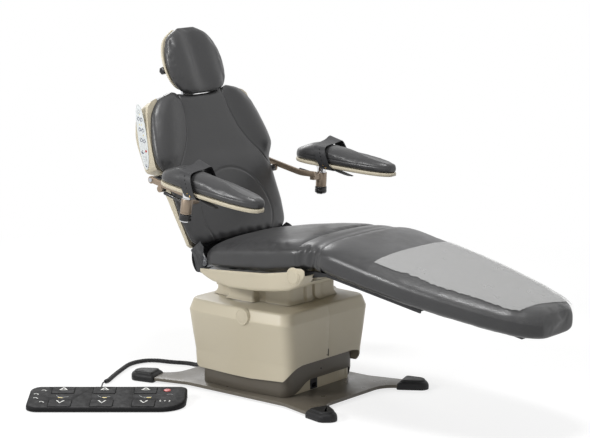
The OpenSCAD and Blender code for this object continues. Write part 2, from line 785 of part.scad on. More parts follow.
function shroud_row(i, t) = let(q = shroud_shares[i],
  pts = half_plan(shroud_x * q[0] - t, shroud_rear * q[1] - t, shroud_y * q[2] - t, shroud_y * q[3] - t,
  max(shroud_corner * q[4] - t, shroud_wall)))
  [for (p = pts) [p.x, p.y, i == 0 ? shroud_at(p.x, p.y) : i == 1 ? end_edge_z + over
    : shroud_zs[i] - (i > 5 ? t : 0)]];
function hole_row(t) = [for (p = half_plan(roof_hole_x, roof_hole_x, roof_hole_y, roof_hole_y - over,
  deck_post_r)) [p.x, p.y, shroud_top - t]];
module shroud_half() {
  a = concat([for (i = [0:len(shroud_shares) - 1]) shroud_row(i, 0)], [hole_row(0)]);
  b = concat([for (i = [0:len(shroud_shares) - 1]) shroud_row(i, shroud_wall)],
    [hole_row(shroud_wall)]);
  difference() {
    sheet(a, b, turned = true);
    across(round_cap_x, shroud_y - round_cap_depth - 3 * over, round_cap_z,
      round_cap_r + lie_gap, round_cap_depth + 6 * over);
  }
}
module shroud_left() {
  color(beige) shroud_half();
}
module shroud_right() {
  color(beige) mirror([0, 1, 0]) shroud_half();
}
module shroud_caps() {
  color(beige) mirrored() {
    across(round_cap_x, shroud_y - round_cap_depth - 3 * over, round_cap_z, round_cap_r,
      round_cap_depth + 3 * over + round_cap_proud);
    translate([round_cap_x - deck_post_r, deck_y / 2 - 2 * deck_post_r, skirt_top + over])
      cube([2 * deck_post_r, shroud_y - round_cap_depth - 2 * over - deck_y / 2 + 2 * deck_post_r,
        over]);
    translate([round_cap_x - deck_post_r, deck_y / 2 - 2 * deck_post_r, deck_z + deck_t])
      cube([2 * deck_post_r, 2 * deck_post_r, skirt_top + 2 * over - deck_z - deck_t]);
  }
}
neck_half_line = [[157, 5], [169, 8], [169, 40], [160, 44], [165, 60], [163, 137], [60, 144],
  [52, 137], [22, 137], [22, 175], [-95, 175], [-95, 144], [-150, 144], [-192, 132], [-200, 60]];
neck_half_corner = [0, 3, 3, 2, 4, 18, 6, 4, 4, 10, 10, 6, 12, 24, 20];
neck_inside = [[153, 126], [19, 126], [19, 171], [-91, 171], [-91, 138], [-182, 126]];
module neck_cover() {
  outline = both(neck_half_line);
  radii = concat([for (i = [len(neck_half_corner) - 1:-1:0]) neck_half_corner[i]], neck_half_corner);
  color(beige) difference() {
    union() {
      translate([0, 0, shroud_top]) linear_extrude(neck_front_top - shroud_top)
        polygon(rounded(outline, radii, 3));
      for (i = [0, 1]) translate([0, 0, shroud_top]) linear_extrude((2 - i) * neck_flare_h / 2)
        polygon(rounded([for (p = outline) [p.x + sign(p.x) * (i + 1) * neck_flare / 2,
          p.y + sign(p.y) * (i + 1) * neck_flare / 2]], radii, 3));
    }
    translate([0, 0, shroud_top - over]) linear_extrude(neck_front_top - shroud_top + 2 * over)
      polygon(both(neck_inside));
    upright(-neck_box - neck_flare, 2 * neck_box + 2 * neck_flare) polygon([
      [neck_half_line[6].x, neck_front_top], [neck_half_line[6].x, neck_front_top + over],
      [-2 * neck_rear, neck_front_top + over], [-2 * neck_rear, neck_top],
      [neck_half_line[12].x, neck_top], [neck_half_line[11].x, neck_top + over]]);
  }
}
module tilt_actuator() {
  color(black) translate([tilt_x + ear_foot, 0, deck_z + deck_t]) {
    cylinder(r = motor_r, h = motor_foot, $fn = fine);
    cylinder(r = motor_r - motor_foot, h = ear_foot, $fn = fine);
  }
  color(black) translate([tilt_x + ear_foot, 0, deck_z + deck_t + ear_foot])
    cylinder(r = ear_r / 2, h = deck_t, $fn = coarse);
}

// Seat
seat_xs = [board_rear, under_line[1].x, 0, under_line[2].x, board_front];
function lower(line, d) = [for (p = line) [p.x, p.y - d]];
module seat_frame() {
  top = lower(under_line, soft_gap);
  color(steel) {
    upright(-seat_board_half, 2 * seat_board_half) polygon(band(top, seat_xs, board_t));
    mirrored() {
      difference() {
        union() {
          upright(rail_y, rail_t) polygon(concat([[back_pin_x, back_pin_z + eye_r],
            [board_rear, lookup(board_rear, top) - board_t]],
            [for (i = [1:3]) let(x = seat_xs[i]) [x, lookup(x, top) - board_t]],
            [[board_front, lookup(board_front, top) - board_t], [knee_x, knee_z + eye_r],
            [knee_x, knee_z - eye_r], [board_front, knee_z - eye_r - over]],
            [for (i = [3:-1:1]) let(x = seat_xs[i]) [x, lookup(x, top) - board_t - rail_h]],
            [[back_pin_x, back_pin_z - eye_r]]));
          across(back_pin_x, rail_y, back_pin_z, eye_r, rail_t);
          across(knee_x, rail_y, knee_z, eye_r, rail_t);
        }
        across(back_pin_x, rail_y - over, back_pin_z, pin_r + hold_fit, rail_t + 2 * over);
        across(knee_x, rail_y - over, knee_z, pin_r + hold_fit, rail_t + 2 * over);
      }
      upright(lug_y, lug_t) polygon([[tilt_x - ear_foot, lookup(tilt_x - ear_foot, top) - board_t / 2],
        [tilt_x - ear_r, tilt_z], [tilt_x + ear_r, tilt_z],
        [tilt_x + ear_foot, lookup(tilt_x + ear_foot, top) - board_t / 2]]);
      across(tilt_x, lug_y, tilt_z, ear_r, lug_t);
      across(tilt_x, ear_y - over, tilt_z, tilt_pin_r, ear_t + lug_t + over);
    }
  }
}
module hinge_pins() {
  color(steel) mirrored()
    for (p = [[back_pin_x, back_pin_z], [knee_x, knee_z]]) {
      across(p.x, rail_y, p.y, pin_r, rail_t + arm_t + 1 + lie_gap);
      across(p.x, arm_y + arm_t + lie_gap, p.y, pin_r + over, over);
      across(p.x, rail_y - over, p.y, pin_r + over, over);
    }
}
module section_actuators() {
  color(black) mirrored() {
    across_x(board_rear + 3 * eye_r, actuator_y, actuator_z, actuator_r, rail_t * 9, fine);
    across_x(board_rear + 3 * eye_r + rail_t * 9, actuator_y, actuator_z, actuator_r / 2, rail_t * 6);
    for (q = [0.4, 0]) translate([board_rear * q, rail_y + rail_t, actuator_z])
      cube([2 * actuator_r, actuator_y - rail_y - rail_t, actuator_r - over]);
  }
}
tub_xs = [for (i = [1:len(tub_line) - 1]) tub_line[i].x];
module seat_tub() {
  top = lower(under_line, soft_gap);
  color(beige) {
    mirrored() {
      upright(tub_half - tub_wall, tub_wall) polygon(concat([for (x = tub_xs) [x, lookup(x, top)]],
        [for (i = [len(tub_xs) - 1:-1:0]) [tub_xs[i], lookup(tub_xs[i], tub_line)]]));
      upright(tub_half - tub_in, tub_in) polygon(band(lower(tub_line, -tub_wall),
        [for (i = [0:5]) tub_xs[i]], tub_wall));
      across(knee_x, tub_half - tub_wall, knee_z, pivot_cap_r, tub_wall);
      for (q = tub_rib_shares) let(x = board_front * q)
        translate([x, seat_board_half, lookup(x, top) - board_t + over / 2])
        cube([tub_in, tub_half - seat_board_half - over, tub_wall]);
    }
    upright(-tub_half, 2 * tub_half) polygon(band(lower(tub_line, -tub_wall),
      [for (i = [5:7]) tub_xs[i]], tub_wall));
  }
}
module pivot_caps() {
  color(beige) mirrored() {
    across(knee_x, tub_half, knee_z, pivot_cap_r, pivot_cap_t - over);
    across(knee_x, tub_half, knee_z, pivot_cap_r - over, pivot_cap_t);
  }
}
function seat_point(v, s, k) = let(x = mix(seat_rear, seat_front, v),
  half = seat_half * lookup(x / seat_front, seat_width_shares), e = edge(s, 4.5) * edge(2 * v - 1, 9),
  high = lookup(x, seat_line) + seat_crown * (1 - s * s), low = lookup(x, under_line),
  mid = mix(low, high, 0.45))
  [x, half * s * edge(1.98 * (v - 0.5), 14), k > 0 ? mid + (high - mid) * e : mid - (mid - low) * e];
module seat_cushion() {
  color(hide) pillow(function(v, s) seat_point(v * 0.996 + 0.002, s, 1),
    function(v, s) seat_point(v * 0.996 + 0.002, s, -1), 18, 12);
}

// Back, in its own frame: X out of the front face, Z up along the back
function smooth(t) = t <= 0 ? 0 : t >= 1 ? 1 : t * t * (3 - 2 * t);
function back_front(h, y, half) = let(seam_y = lookup(h, seam_line), d = abs(y) - seam_y,
  fade = smooth((h - bolster_foot) / bolster_run))
  back_crown * (1 - pow(y / half, 2)) * (1 - 0.4 * fade)
  + fade * (bolster * smooth(d / (half - seam_y) * 2.6) - channel * exp(-pow(d / channel_half, 2)));
function back_point(v, s, k) = let(top = back_len + back_peak * s * s, h = mix(back_foot, top, v),
  half = back_half * lookup(mix(back_foot, back_len + back_peak, v) / back_len, back_width_shares),
  y = half * s * edge(1.97 * (v - 0.5), 16), e = edge(s, 5) * edge(2 * v - 1, 9),
  mid = -back_t / 2, front = back_front(h, y, half))
  [k > 0 ? mid + (front - mid) * e : mid - back_t / 2 * e, y, h];
module back_cushion() {
  color(hide) on_back() pillow(function(v, s) back_point(v * 0.996 + 0.002, s, 1),
    function(v, s) back_point(v * 0.996 + 0.002, s, -1), 20, 15, turned = true);
}
function shell_path(h, t) = let(w = back_half * lookup(h / back_len, shell_width_shares) - t,
  f = lookup(h, shell_front_line), d = shell_depth * lookup(h / back_len, shell_depth_shares) - t,
  rear = panel_n + d, r = min(shell_wall * 4, (rear - f) * 0.45))
  [for (p = concat([[-f, -w]], corner([-f, -w], [-rear, -w], [-rear, 0], r, 4),
    corner([-rear, 0], [-rear, w], [-f, w], r, 4), [[-f, w]])) [p.x, p.y, h]];
module back_shell() {
  color(beige) on_back() difference() {
    sheet([for (h = shell_rows) shell_path(h, 0)], [for (h = shell_rows) shell_path(h, shell_wall)]);
    across(arm_local.x, -back_half, arm_local.y, arm_boss_r + lie_gap, 2 * back_half);
  }
}
// The arm pin and the back pin in the frame of the back
function into_back(x, z) = [(x - crease_x) * cos(lean) + (z - back_z) * sin(lean),
  -(x - crease_x) * sin(lean) + (z - back_z) * cos(lean)];
arm_local = into_back(arm_pin_x, arm_pin_z);
pin_local = into_back(back_pin_x, back_pin_z);
module back_frame() {
  n = back_t + soft_gap;
  color(steel) on_back() {
    translate([-n - back_board_t, -back_board_half, back_board_foot])
      cube([back_board_t, 2 * back_board_half, back_board_top - back_board_foot]);
    mirrored() {
      translate([-n - back_board_t - rail_t, back_rail_y, back_rail_foot])
        cube([rail_t, back_rail_t, back_board_top - back_rail_foot]);
      difference() {
        union() {
          upright(arm_y, arm_t) polygon([[-n - back_board_t, back_board_foot],
            [-n - back_board_t, back_rail_foot + bolster_run],
            [-n - back_board_t - rail_t, back_rail_foot + bolster_run],
            [pin_local.x - eye_r, pin_local.y], [pin_local.x + eye_r, pin_local.y]]);
          across(pin_local.x, arm_y, pin_local.y, eye_r, arm_t);
        }
        across(pin_local.x, arm_y - over, pin_local.y, pin_r + run_fit, arm_t + 2 * over);
      }
      across(arm_local.x, back_rail_y, arm_local.y, arm_boss_r,
        bar_y - bar_t / 2 - lie_gap - back_rail_y);
      across(arm_local.x, bar_y - bar_t, arm_local.y, arm_pin_r, 1.5 * bar_t + 2 * over);
    }
    difference() {
      translate([-stay_n - stay_t - sleeve_wall, -stay_half - sleeve_wall, sleeve_foot])
        cube([stay_n + stay_t + sleeve_wall - n - back_board_t, 2 * (stay_half + sleeve_wall),
          sleeve_top - sleeve_foot]);
      translate([-stay_n - stay_t - lie_gap, -stay_half - lie_gap, sleeve_foot - over])
        cube([stay_t + 2 * lie_gap, 2 * (stay_half + lie_gap), sleeve_top - sleeve_foot + 2 * over]);
    }
  }
}
module touch_panel() {
  half = touch_len / 2 - touch_w / 2;
  side = back_half * lookup(touch_h / back_len, shell_width_shares);
  color(grey) on_back() translate([-touch_n, 0, touch_h]) rotate([0, touch_lean, 0])
    upright(-side - touch_t, touch_t) polygon(rounded(box_xy(touch_w / 2, touch_len / 2),
      touch_w * 0.49, 7));
}
function box_xy(x, z) = [[x, -z], [x, z], [-x, z], [-x, -z]];
module headrest_bar() {
  color(steel) on_back() {
    upright(-stay_half, 2 * stay_half) polygon([[-stay_n - stay_t, stay_foot], [-stay_n, stay_foot],
      [-stay_n, stay_bend], [-head_pin_n, head_pin_h - barrel_r],
      [-head_pin_n - barrel_r, head_pin_h], [-stay_n - stay_t, stay_bend + stay_t]]);
    difference() {
      across(-head_pin_n, -stay_half, head_pin_h, barrel_r, 2 * stay_half);
      across(-head_pin_n, -stay_half - over, head_pin_h, head_pin_r + run_fit,
        2 * stay_half + 2 * over);
    }
  }
}
function dish_ring(q) = let(mid = head_len / 2, us = concat([head_dish_foot],
  [for (w = head_width_shares) if (w[0] * head_len > head_dish_foot + over) w[0] * head_len]),
  line = [for (u = us) [head_half * lookup(u / head_len, head_width_shares), u]],
  turn = [for (i = [len(line) - 1:-1:0]) [-line[i].x, line[i].y]])
  [for (p = concat(line, turn)) [-head_shell_n - head_shell_t * q[0], p.x * q[1],
  head_foot + mid + (p.y - mid) * q[1]]];
module head_shell() {
  color(beige) on_back() {
    loft([for (q = head_dish_shares) dish_ring(q)], turned = true);
    mirrored() {
      translate([-head_pin_n, ear_in, head_pin_h - barrel_r])
        cube([head_pin_n - head_shell_n - head_shell_t + over, ear_out - ear_in, 2 * barrel_r]);
      across(-head_pin_n, ear_in, head_pin_h, barrel_r, ear_out - ear_in);
    }
    across(-head_pin_n, -head_knob_y - head_knob_r + over, head_pin_h, head_pin_r,
      head_knob_y + head_knob_r - over + ear_out);
  }
}
module head_knob() {
  color(black) on_back() difference() {
    across(-head_pin_n, -head_knob_y - head_knob_w, head_pin_h, head_knob_r, head_knob_w);
    across(-head_pin_n, -head_knob_y - head_knob_r, head_pin_h, head_pin_r + run_fit,
      head_knob_r + over);
  }
}
function head_point(v, s, k) = let(u = v * head_len,
  half = head_half * lookup(u / head_len, head_width_shares), y = half * s,
  e = edge(s, 4) * edge(2 * v - 1, 5), mid = (head_front - head_rear) / 2,
  front = head_front - head_wing * (1 - smooth(abs(y) / head_half * 1.5)))
  [k > 0 ? mid + (front - mid) * e : mid - (head_rear + mid) * e, y, head_foot + u];
module head_cushion() {
  color(hide) on_back() pillow(function(v, s) head_point(v * 0.99 + 0.005, s, 1),
    function(v, s) head_point(v * 0.99 + 0.005, s, -1), 12, 10, turned = true);
}

// Leg rest
function leg_point(v, s, k, g) = let(x = mix(leg_rear, leg_end, v),
  half = leg_half * lookup(x / leg_end, leg_width_shares), e = edge(s, 4.5) * edge(2 * v - 1, 12),
  high = lookup(x, leg_line) + leg_crown * (1 - s * s), low = lookup(x, leg_under),
  mid = mix(low, high, 0.45))
  [x + (v > 0.5 ? g : 0), (half * edge(1.98 * (v - 0.5), 18) + g) * s,
  k > 0 ? mid + (high + g - mid) * e : mid - (mid - low) * e];
module leg_cushion() {
  color(hide) pillow(function(v, s) leg_point(v * 0.998 + 0.001, s, 1, 0),
    function(v, s) leg_point(v * 0.998 + 0.001, s, -1, 0), 18, 12);
}
module foot_cover() {
  v0 = (cover_rear - leg_rear) / (leg_end - leg_rear);
  vs = concat([v0], [for (i = [0:18]) let(v = mix(0.001, 0.999, (1 - cos(10 * i)) / 2))
    if (v > v0) v]);
  ss = [for (i = [0:12]) sin(15 * i - 90)];
  color("white", 0.4) sheet([for (v = vs) [for (s = ss) leg_point(v, s, 1, cover_t + soft_gap)]],
    [for (v = vs) [for (s = ss) leg_point(v, s, 1, soft_gap)]]);
}
module leg_frame() {
  under = lower(leg_under, soft_gap);
  color(steel) {
    upright(-arm_y - over, 2 * arm_y + 2 * over)
      polygon(band(under, [leg_board_rear, leg_step_x], leg_board_t));
    upright(-seat_board_half / 2, seat_board_half) polygon(band(under, [leg_step_x - over, leg_board_end],
      leg_board_t));
    mirrored() difference() {
      union() {
        across(knee_x, arm_y, knee_z, eye_r, arm_t);
        upright(arm_y, arm_t) polygon([[knee_x, knee_z + eye_r], [knee_x, knee_z - eye_r],
          [leg_board_rear, lookup(leg_board_rear, under) - leg_rail_h],
          [leg_step_x, lookup(leg_step_x, under) - leg_rail_h],
          [leg_step_x, lookup(leg_step_x, under)],
          [leg_board_rear, lookup(leg_board_rear, under)]]);
      }
      across(knee_x, arm_y - over, knee_z, pin_r + run_fit, arm_t + 2 * over);
    }
  }
}

// Arm boards: drawn on the left, mirrored for the right
module arm_side(right) {
  if (right) mirror([0, 1, 0]) children();
  else children();
}
module at_post(tilt) {
  translate([post_x, post_y, post_z]) rotate([0, tilt, 0]) children();
}
module arm_bar(right, tilt) {
  y = bar_y - bar_t / 2;
  n1 = unit([arm_pin_z - elbow_z, elbow_x - arm_pin_x]) * bar_h / 2;
  nb = unit(unit(n1) + [0, 1]) * bar_h / 2;
  color(bronze) arm_side(right) {
    difference() {
      union() {
        upright(y, bar_t) polygon([[arm_pin_x, arm_pin_z] + n1, [elbow_x, elbow_z] + nb,
          [bar_end_x, bar_end_z + bar_h / 2], [bar_end_x, bar_end_z - bar_h / 2],
          [elbow_x, elbow_z] - nb, [arm_pin_x, arm_pin_z] - n1]);
        across(arm_pin_x, y, arm_pin_z, arm_boss_r + over, bar_t);
        across(arm_knob_x, y, arm_knob_z, arm_knob_d / 2, bar_t);
        across(arm_knob_x, y - over, arm_knob_z, arm_pin_r, over);
      }
      across(arm_pin_x, y - over, arm_pin_z, arm_pin_r + run_fit, bar_t + 2 * over);
      across(arm_knob_x, y - 2 * over, arm_knob_z, stud_r / 2 + run_fit, bar_t / 2 + 2 * over);
    }
    difference() {
      translate([post_x - block_in, y + bar_t - over, post_z + sleeve_high - 2 * (block_in + over)])
        cube([2 * block_in, post_y - y - bar_t - over, 2 * block_in]);
      at_post(tilt) translate([0, 0, sleeve_low - 2 * over])
        cylinder(r = sleeve_d / 2 - over, h = sleeve_high - sleeve_low + 4 * over, $fn = fine);
    }
    at_post(tilt) translate([0, 0, sleeve_low]) difference() {
      cylinder(r = sleeve_d / 2, h = sleeve_high - sleeve_low, $fn = fine);
      translate([0, 0, -over]) cylinder(r = post_d / 2 + run_fit,
        h = sleeve_high - sleeve_low + 2 * over, $fn = fine);
    }
  }
}
module arm_knob(right) {
  y = bar_y - bar_t / 2 - over - lie_gap;
  color(black) arm_side(right) {
    across(arm_knob_x, y - arm_knob_w, arm_knob_z, arm_knob_d / 2, arm_knob_w);
    across(arm_knob_x, y, arm_knob_z, stud_r / 2, bar_t / 2 + over, coarse);
  }
}
module arm_lever(right, tilt) {
  color(black) arm_side(right) at_post(tilt) {
    translate([0, 0, collar_low]) difference() {
      union() {
        cylinder(r = collar_r, h = sleeve_low - lie_gap - collar_low, $fn = fine);
        rotate([0, -90 + lever_rise, 0]) translate([(sleeve_low - collar_low) / 2, 0, 0])
          cylinder(r = lever_r, h = collar_r + lever_len, $fn = coarse);
        rotate([0, -90 + lever_rise, 0])
          translate([(sleeve_low - collar_low) / 2, 0, collar_r + lever_len / 2])
          cylinder(r = lever_r + over, h = lever_len / 2, $fn = coarse);
      }
      translate([0, 0, -over]) cylinder(r = post_d / 2 + run_fit,
        h = sleeve_low - collar_low + 2 * over, $fn = fine);
    }
  }
}
module arm_post(right, tilt) {
  color(steel) arm_side(right) at_post(tilt) {
    translate([0, 0, collar_low - clip_t - lie_gap])
      cylinder(r = post_d / 2, h = flare_low - collar_low + clip_t + lie_gap, $fn = fine);
    translate([0, 0, collar_low - clip_t - lie_gap]) cylinder(r = clip_r, h = clip_t, $fn = fine);
    translate([0, 0, sleeve_high + lie_gap]) cylinder(r = clip_r, h = clip_t, $fn = fine);
    translate([0, 0, flare_low]) cylinder(r1 = post_d / 2, r2 = flare_r, h = tray_low - flare_low,
      $fn = fine);
  }
}
board_xs = [-114, -106, -90, -65, -40, 40, 110, 170, 230, 280, 320, 347];
module arm_tray(right, tilt) {
  pts = [for (x = board_xs) [x, -board_half * lookup(x / board_len, board_shares)]];
  color(beige) arm_side(right) at_post(tilt) translate([0, 0, tray_low]) linear_extrude(tray_t)
    polygon(concat(pts, [for (i = [len(pts) - 1:-1:0]) [pts[i].x, -pts[i].y]]));
}
function pad_point(v, s, k) = let(u = mix(pad_foot, pad_foot + board_len, v * 0.99 + 0.005),
  half = (board_half + over) * lookup(u / board_len, board_shares), e = edge(s, 5) * edge(2 * v * 0.99 - 0.98, 8),
  low = tray_low + tray_t + soft_gap, mid = mix(low, pad_top, 0.45),
  high = pad_top - pad_groove * (1 - smooth(abs(s) * 1.5)) * smooth(v * 5))
  [u, half * s, k > 0 ? mid + (high - mid) * e : mid - (mid - low) * e];
module arm_pad(right, tilt) {
  color(hide) arm_side(right) at_post(tilt) pillow(function(v, s) pad_point(v, s, 1),
    function(v, s) pad_point(v, s, -1), 12, 10);
}
function strap_ring(dx, t) = [for (p = rounded([[strap_half + t, tray_low - lie_gap - t],
  [strap_half + t, pad_top + soft_gap + t], [-strap_half - t, pad_top + soft_gap + t],
  [-strap_half - t, tray_low - lie_gap - t]], [strap_corner / 3, strap_corner, strap_corner,
  strap_corner / 3], 3)) [strap_x + dx - strap_slant * (p.y - tray_low), p.x, p.y]];
module arm_strap(right, tilt) {
  color(hide) arm_side(right) at_post(tilt) {
    sheet([for (k = [-1, 1]) strap_ring(k * strap_w / 2, strap_t)],
      [for (k = [-1, 1]) strap_ring(k * strap_w / 2, 0)], closed = true, turned = true);
  }
}
module right_arm_bar() {
  arm_bar(true, right_lean);
}
module left_arm_bar() {
  arm_bar(false, left_lean);
}
module right_arm_knob() {
  arm_knob(true);
}
module left_arm_knob() {
  arm_knob(false);
}
module right_arm_lever() {
  arm_lever(true, right_lean);
}
module left_arm_lever() {
  arm_lever(false, left_lean);
}
module right_arm_post() {
  arm_post(true, right_lean);
}
module left_arm_post() {
  arm_post(false, left_lean);
}
module right_arm_tray() {
  arm_tray(true, right_lean);
}
module left_arm_tray() {
  arm_tray(false, left_lean);
}
module right_arm_pad() {
  arm_pad(true, right_lean);
}
module left_arm_pad() {
  arm_pad(false, left_lean);
}
module right_arm_strap() {
  arm_strap(true, right_lean);
}
module left_arm_strap() {
  arm_strap(false, left_lean);
}

// Foot control
module at_pedal() {
  translate([pedal_x, pedal_y, 0]) rotate([0, 0, pedal_turn]) children();
}
// On the sloping top, with v measured from the middle
module on_pedal(u, v) {
  at_pedal() translate([0, -pedal_depth / 2, pedal_front_h]) rotate([pedal_slope, 0, 0])
    translate([u, (v + pedal_depth / 2) / cos(pedal_slope), 0]) children();
}
module key_shape(g) {
  polygon(rounded(box(key_w / 2 + g, key_depth / 2 + g), stud_r + g, 3));
}
module pedal_housing() {
  l = pedal_len / 2;
  d = pedal_depth / 2;
  color(black) pedal_feet();
  color(black) difference() {
    at_pedal() translate([0, 0, pedal_foot_t]) linear_extrude(pedal_rear_h)
      polygon(rounded([[l, -d], [l, d], [-l, d], [-l, -d]], [95, 22, 70, 40], 7));
    on_pedal(0, 0) translate([-pedal_len, -pedal_depth, 0])
      cube([2 * pedal_len, 2 * pedal_depth, 2 * pedal_rear_h]);
    for (i = [-1, 0, 1])
      for (v = [key_rear, key_front]) on_pedal(key_shift + i * key_step, v) {
        translate([0, 0, -key_pocket]) linear_extrude(key_pocket + over) key_shape(key_gap);
        translate([0, 0, -key_pocket - key_stem]) cylinder(r = key_stem_r + run_fit,
          h = key_stem + over, $fn = coarse);
      }
    on_pedal(stop_u, stop_v) translate([0, 0, -key_pocket])
      cylinder(r = stop_r + key_gap, h = key_pocket + over, $fn = fine);
    on_pedal(stop_u, stop_v) translate([0, 0, -key_pocket - key_stem])
      cylinder(r = key_stem_r + run_fit, h = key_stem + over, $fn = coarse);
    cord_socket();
  }
}
module cord_socket() {
  p = tail[len(tail) - 2];
  q = tail[len(tail) - 1];
  translate(q) rotate([90, 0, atan2(q.y - p.y, q.x - p.x) + 90])
    cylinder(r = wire_d / 2 + lie_gap, h = 6 * over, center = true, $fn = coarse);
}
module pedal_feet() {
  at_pedal() for (x = [-1, 1])
    for (y = [-1, 1]) translate([x * (pedal_len / 2 - key_depth), y * key_depth, 0])
      cylinder(r = pedal_foot_r, h = pedal_foot_t + over, $fn = coarse);
}
module key(i, v) {
  color(black) on_pedal(key_shift + i * key_step, v) {
    translate([0, 0, key_proud - key_t]) linear_extrude(key_t) key_shape(0);
    translate([0, 0, -key_pocket - key_stem + 4])
      cylinder(r = key_stem_r, h = key_pocket + key_stem - 4, $fn = coarse);
  }
}
module back_up_key() {
  key(-1, key_rear);
}
module back_down_key() {
  key(-1, key_front);
}
module lift_up_key() {
  key(0, key_rear);
}
module lift_down_key() {
  key(0, key_front);
}
module tilt_up_key() {
  key(1, key_rear);
}
module tilt_down_key() {
  key(1, key_front);
}
module stop_button() {
  color("#b02020") on_pedal(stop_u, stop_v) {
    translate([0, 0, key_proud - key_t]) cylinder(r = stop_r, h = key_t, $fn = fine);
    translate([0, 0, -key_pocket - key_stem + 4])
      cylinder(r = key_stem_r, h = key_pocket + key_stem - 4, $fn = coarse);
  }
}

// Curly cord: a spline through the route, wound into curls
function spline(p, t) = let(m = len(p), i = min(m - 2, floor(t)), f = t - i,
  a = p[max(0, i - 1)], b = p[i], c = p[i + 1], d = p[min(m - 1, i + 2)])
  0.5 * (2 * b + (c - a) * f + (2 * a - 5 * b + 4 * c - d) * f * f
  + (3 * b - a - 3 * c + d) * f * f * f);
way = concat(lead, route, tail);
way_fine = [for (i = [0:10 * (len(way) - 1)]) spline(way, i / 10)];
function sums(p, i = 1, acc = [0]) = i == len(p) ? acc
  : sums(p, i + 1, concat(acc, [acc[i - 1] + norm(p[i] - p[i - 1])]));
way_sum = sums(way_fine);
way_table = [for (i = [0:len(way_fine) - 1]) [way_sum[i], i]];
function on_way(s) = let(f = lookup(s, way_table), i = min(len(way_fine) - 2, floor(f)))
  mix(way_fine[i], way_fine[i + 1], f - i);
coil_from = way_sum[10 * len(lead)];
coil_to = way_sum[10 * (len(lead) + len(route) - 1)];
way_end = way_sum[len(way_sum) - 1];
curl_rings = 8;
ramp = (coil_to - coil_from) / curls;
cord_steps = concat([for (i = [0:13]) coil_from * i / 14],
  [for (i = [0:curls * curl_rings]) mix(coil_from, coil_to, i / (curls * curl_rings))],
  [for (i = [1:12]) mix(coil_to, way_end, i / 12)]);
function way_dir(s) = unit(on_way(min(way_end, s + 2)) - on_way(max(0, s - 2)));
function cord_at(s) = let(t = way_dir(s), side = unit([-t.y, t.x, 0]), up = cross(t, side),
  f = (max(coil_from, min(coil_to, s)) - coil_from) / (coil_to - coil_from) * curls * 360,
  r = curl_r * smooth((s - coil_from) / ramp) * smooth((coil_to - s) / ramp))
  [on_way(s) + r * (cos(f) * side + sin(f) * up), cos(f) * side + sin(f) * up];
cord_mid = [for (s = cord_steps) cord_at(s)];
function cord_ring(i) = let(m = len(cord_mid), q = cord_mid[i][0],
  t = unit(cord_mid[min(m - 1, i + 1)][0] - cord_mid[max(0, i - 1)][0]),
  n = unit(cord_mid[i][1] - (cord_mid[i][1] * t) * t), b = cross(t, n))
  [for (k = [0:5]) q + wire_d / 2 * (cos(60 * k) * n + sin(60 * k) * b)];
module foot_cord() {
  color(black) loft([for (i = [0:len(cord_mid) - 1]) cord_ring(i)], turned = true);
}
cord_gap = min([for (i = [0:len(cord_mid) - 1]) for (j = [i + 6:1:min(len(cord_mid) - 1, i + 60)])
  norm(cord_mid[i][0] - cord_mid[j][0])]) - wire_d;
echo(cord_gap = cord_gap, cord_len = way_end, coil = coil_to - coil_from,
  low = min([for (i = [0:len(cord_mid) - 1]) for (p = cord_ring(i)) p.z]));

base_plate();
levelling_feet();
foot_caps();
lift_column_outer();
lift_motor();
control_box();
chassis_box();
access_panel();
power_inlet();
inlet_rocker();
cord_gland();
foot_cord();
pedal_housing();
back_up_key();
back_down_key();
lift_up_key();
lift_down_key();
tilt_up_key();
tilt_down_key();
stop_button();
middle_skirt();
lift_column_middle();
lift_column_inner();
carriage_frame();
shroud_left();
shroud_right();
shroud_caps();
neck_cover();
tilt_actuator();
seat_frame();
seat_tub();
pivot_caps();
seat_cushion();
hinge_pins();
section_actuators();
back_frame();
back_shell();
touch_panel();
back_cushion();
headrest_bar();
head_shell();
head_cushion();
head_knob();
leg_frame();
leg_cushion();
foot_cover();
right_arm_bar();
right_arm_knob();
right_arm_lever();
right_arm_post();
right_arm_tray();
right_arm_pad();
right_arm_strap();
left_arm_bar();
left_arm_knob();
left_arm_lever();
left_arm_post();
left_arm_tray();
left_arm_pad();
left_arm_strap();
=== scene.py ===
"""A dental surgery chair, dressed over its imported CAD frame.

Everything is in metres, in the frame of the CAD model: +X towards the foot end, +Y towards the
patient's left, +Z up, with the origin on the floor under the middle of the base plate.
Small sizes are written in millimetres, as in the part's source, and turned to metres by MM.
"""
import json
from math import acos, atan2, copysign, cos, dist, exp, hypot, pi, radians, sin, sqrt, tan

import bmesh
import bpy
import numpy as np
from mathutils import Matrix, Vector, noise


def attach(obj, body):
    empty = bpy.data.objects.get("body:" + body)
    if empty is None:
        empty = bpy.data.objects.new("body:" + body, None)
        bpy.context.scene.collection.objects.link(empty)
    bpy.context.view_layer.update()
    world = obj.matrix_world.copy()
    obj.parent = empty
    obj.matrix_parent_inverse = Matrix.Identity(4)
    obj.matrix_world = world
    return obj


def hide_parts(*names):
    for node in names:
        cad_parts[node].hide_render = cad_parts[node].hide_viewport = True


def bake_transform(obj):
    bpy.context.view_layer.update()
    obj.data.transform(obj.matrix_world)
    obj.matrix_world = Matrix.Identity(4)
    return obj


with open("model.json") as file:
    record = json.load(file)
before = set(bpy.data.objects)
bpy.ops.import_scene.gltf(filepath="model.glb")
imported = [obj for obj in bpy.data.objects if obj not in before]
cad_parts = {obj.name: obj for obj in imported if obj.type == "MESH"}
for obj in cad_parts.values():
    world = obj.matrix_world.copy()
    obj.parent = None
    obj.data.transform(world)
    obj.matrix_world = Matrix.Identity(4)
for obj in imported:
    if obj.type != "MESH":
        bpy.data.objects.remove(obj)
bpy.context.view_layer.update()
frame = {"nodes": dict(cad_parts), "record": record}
MM = 0.001

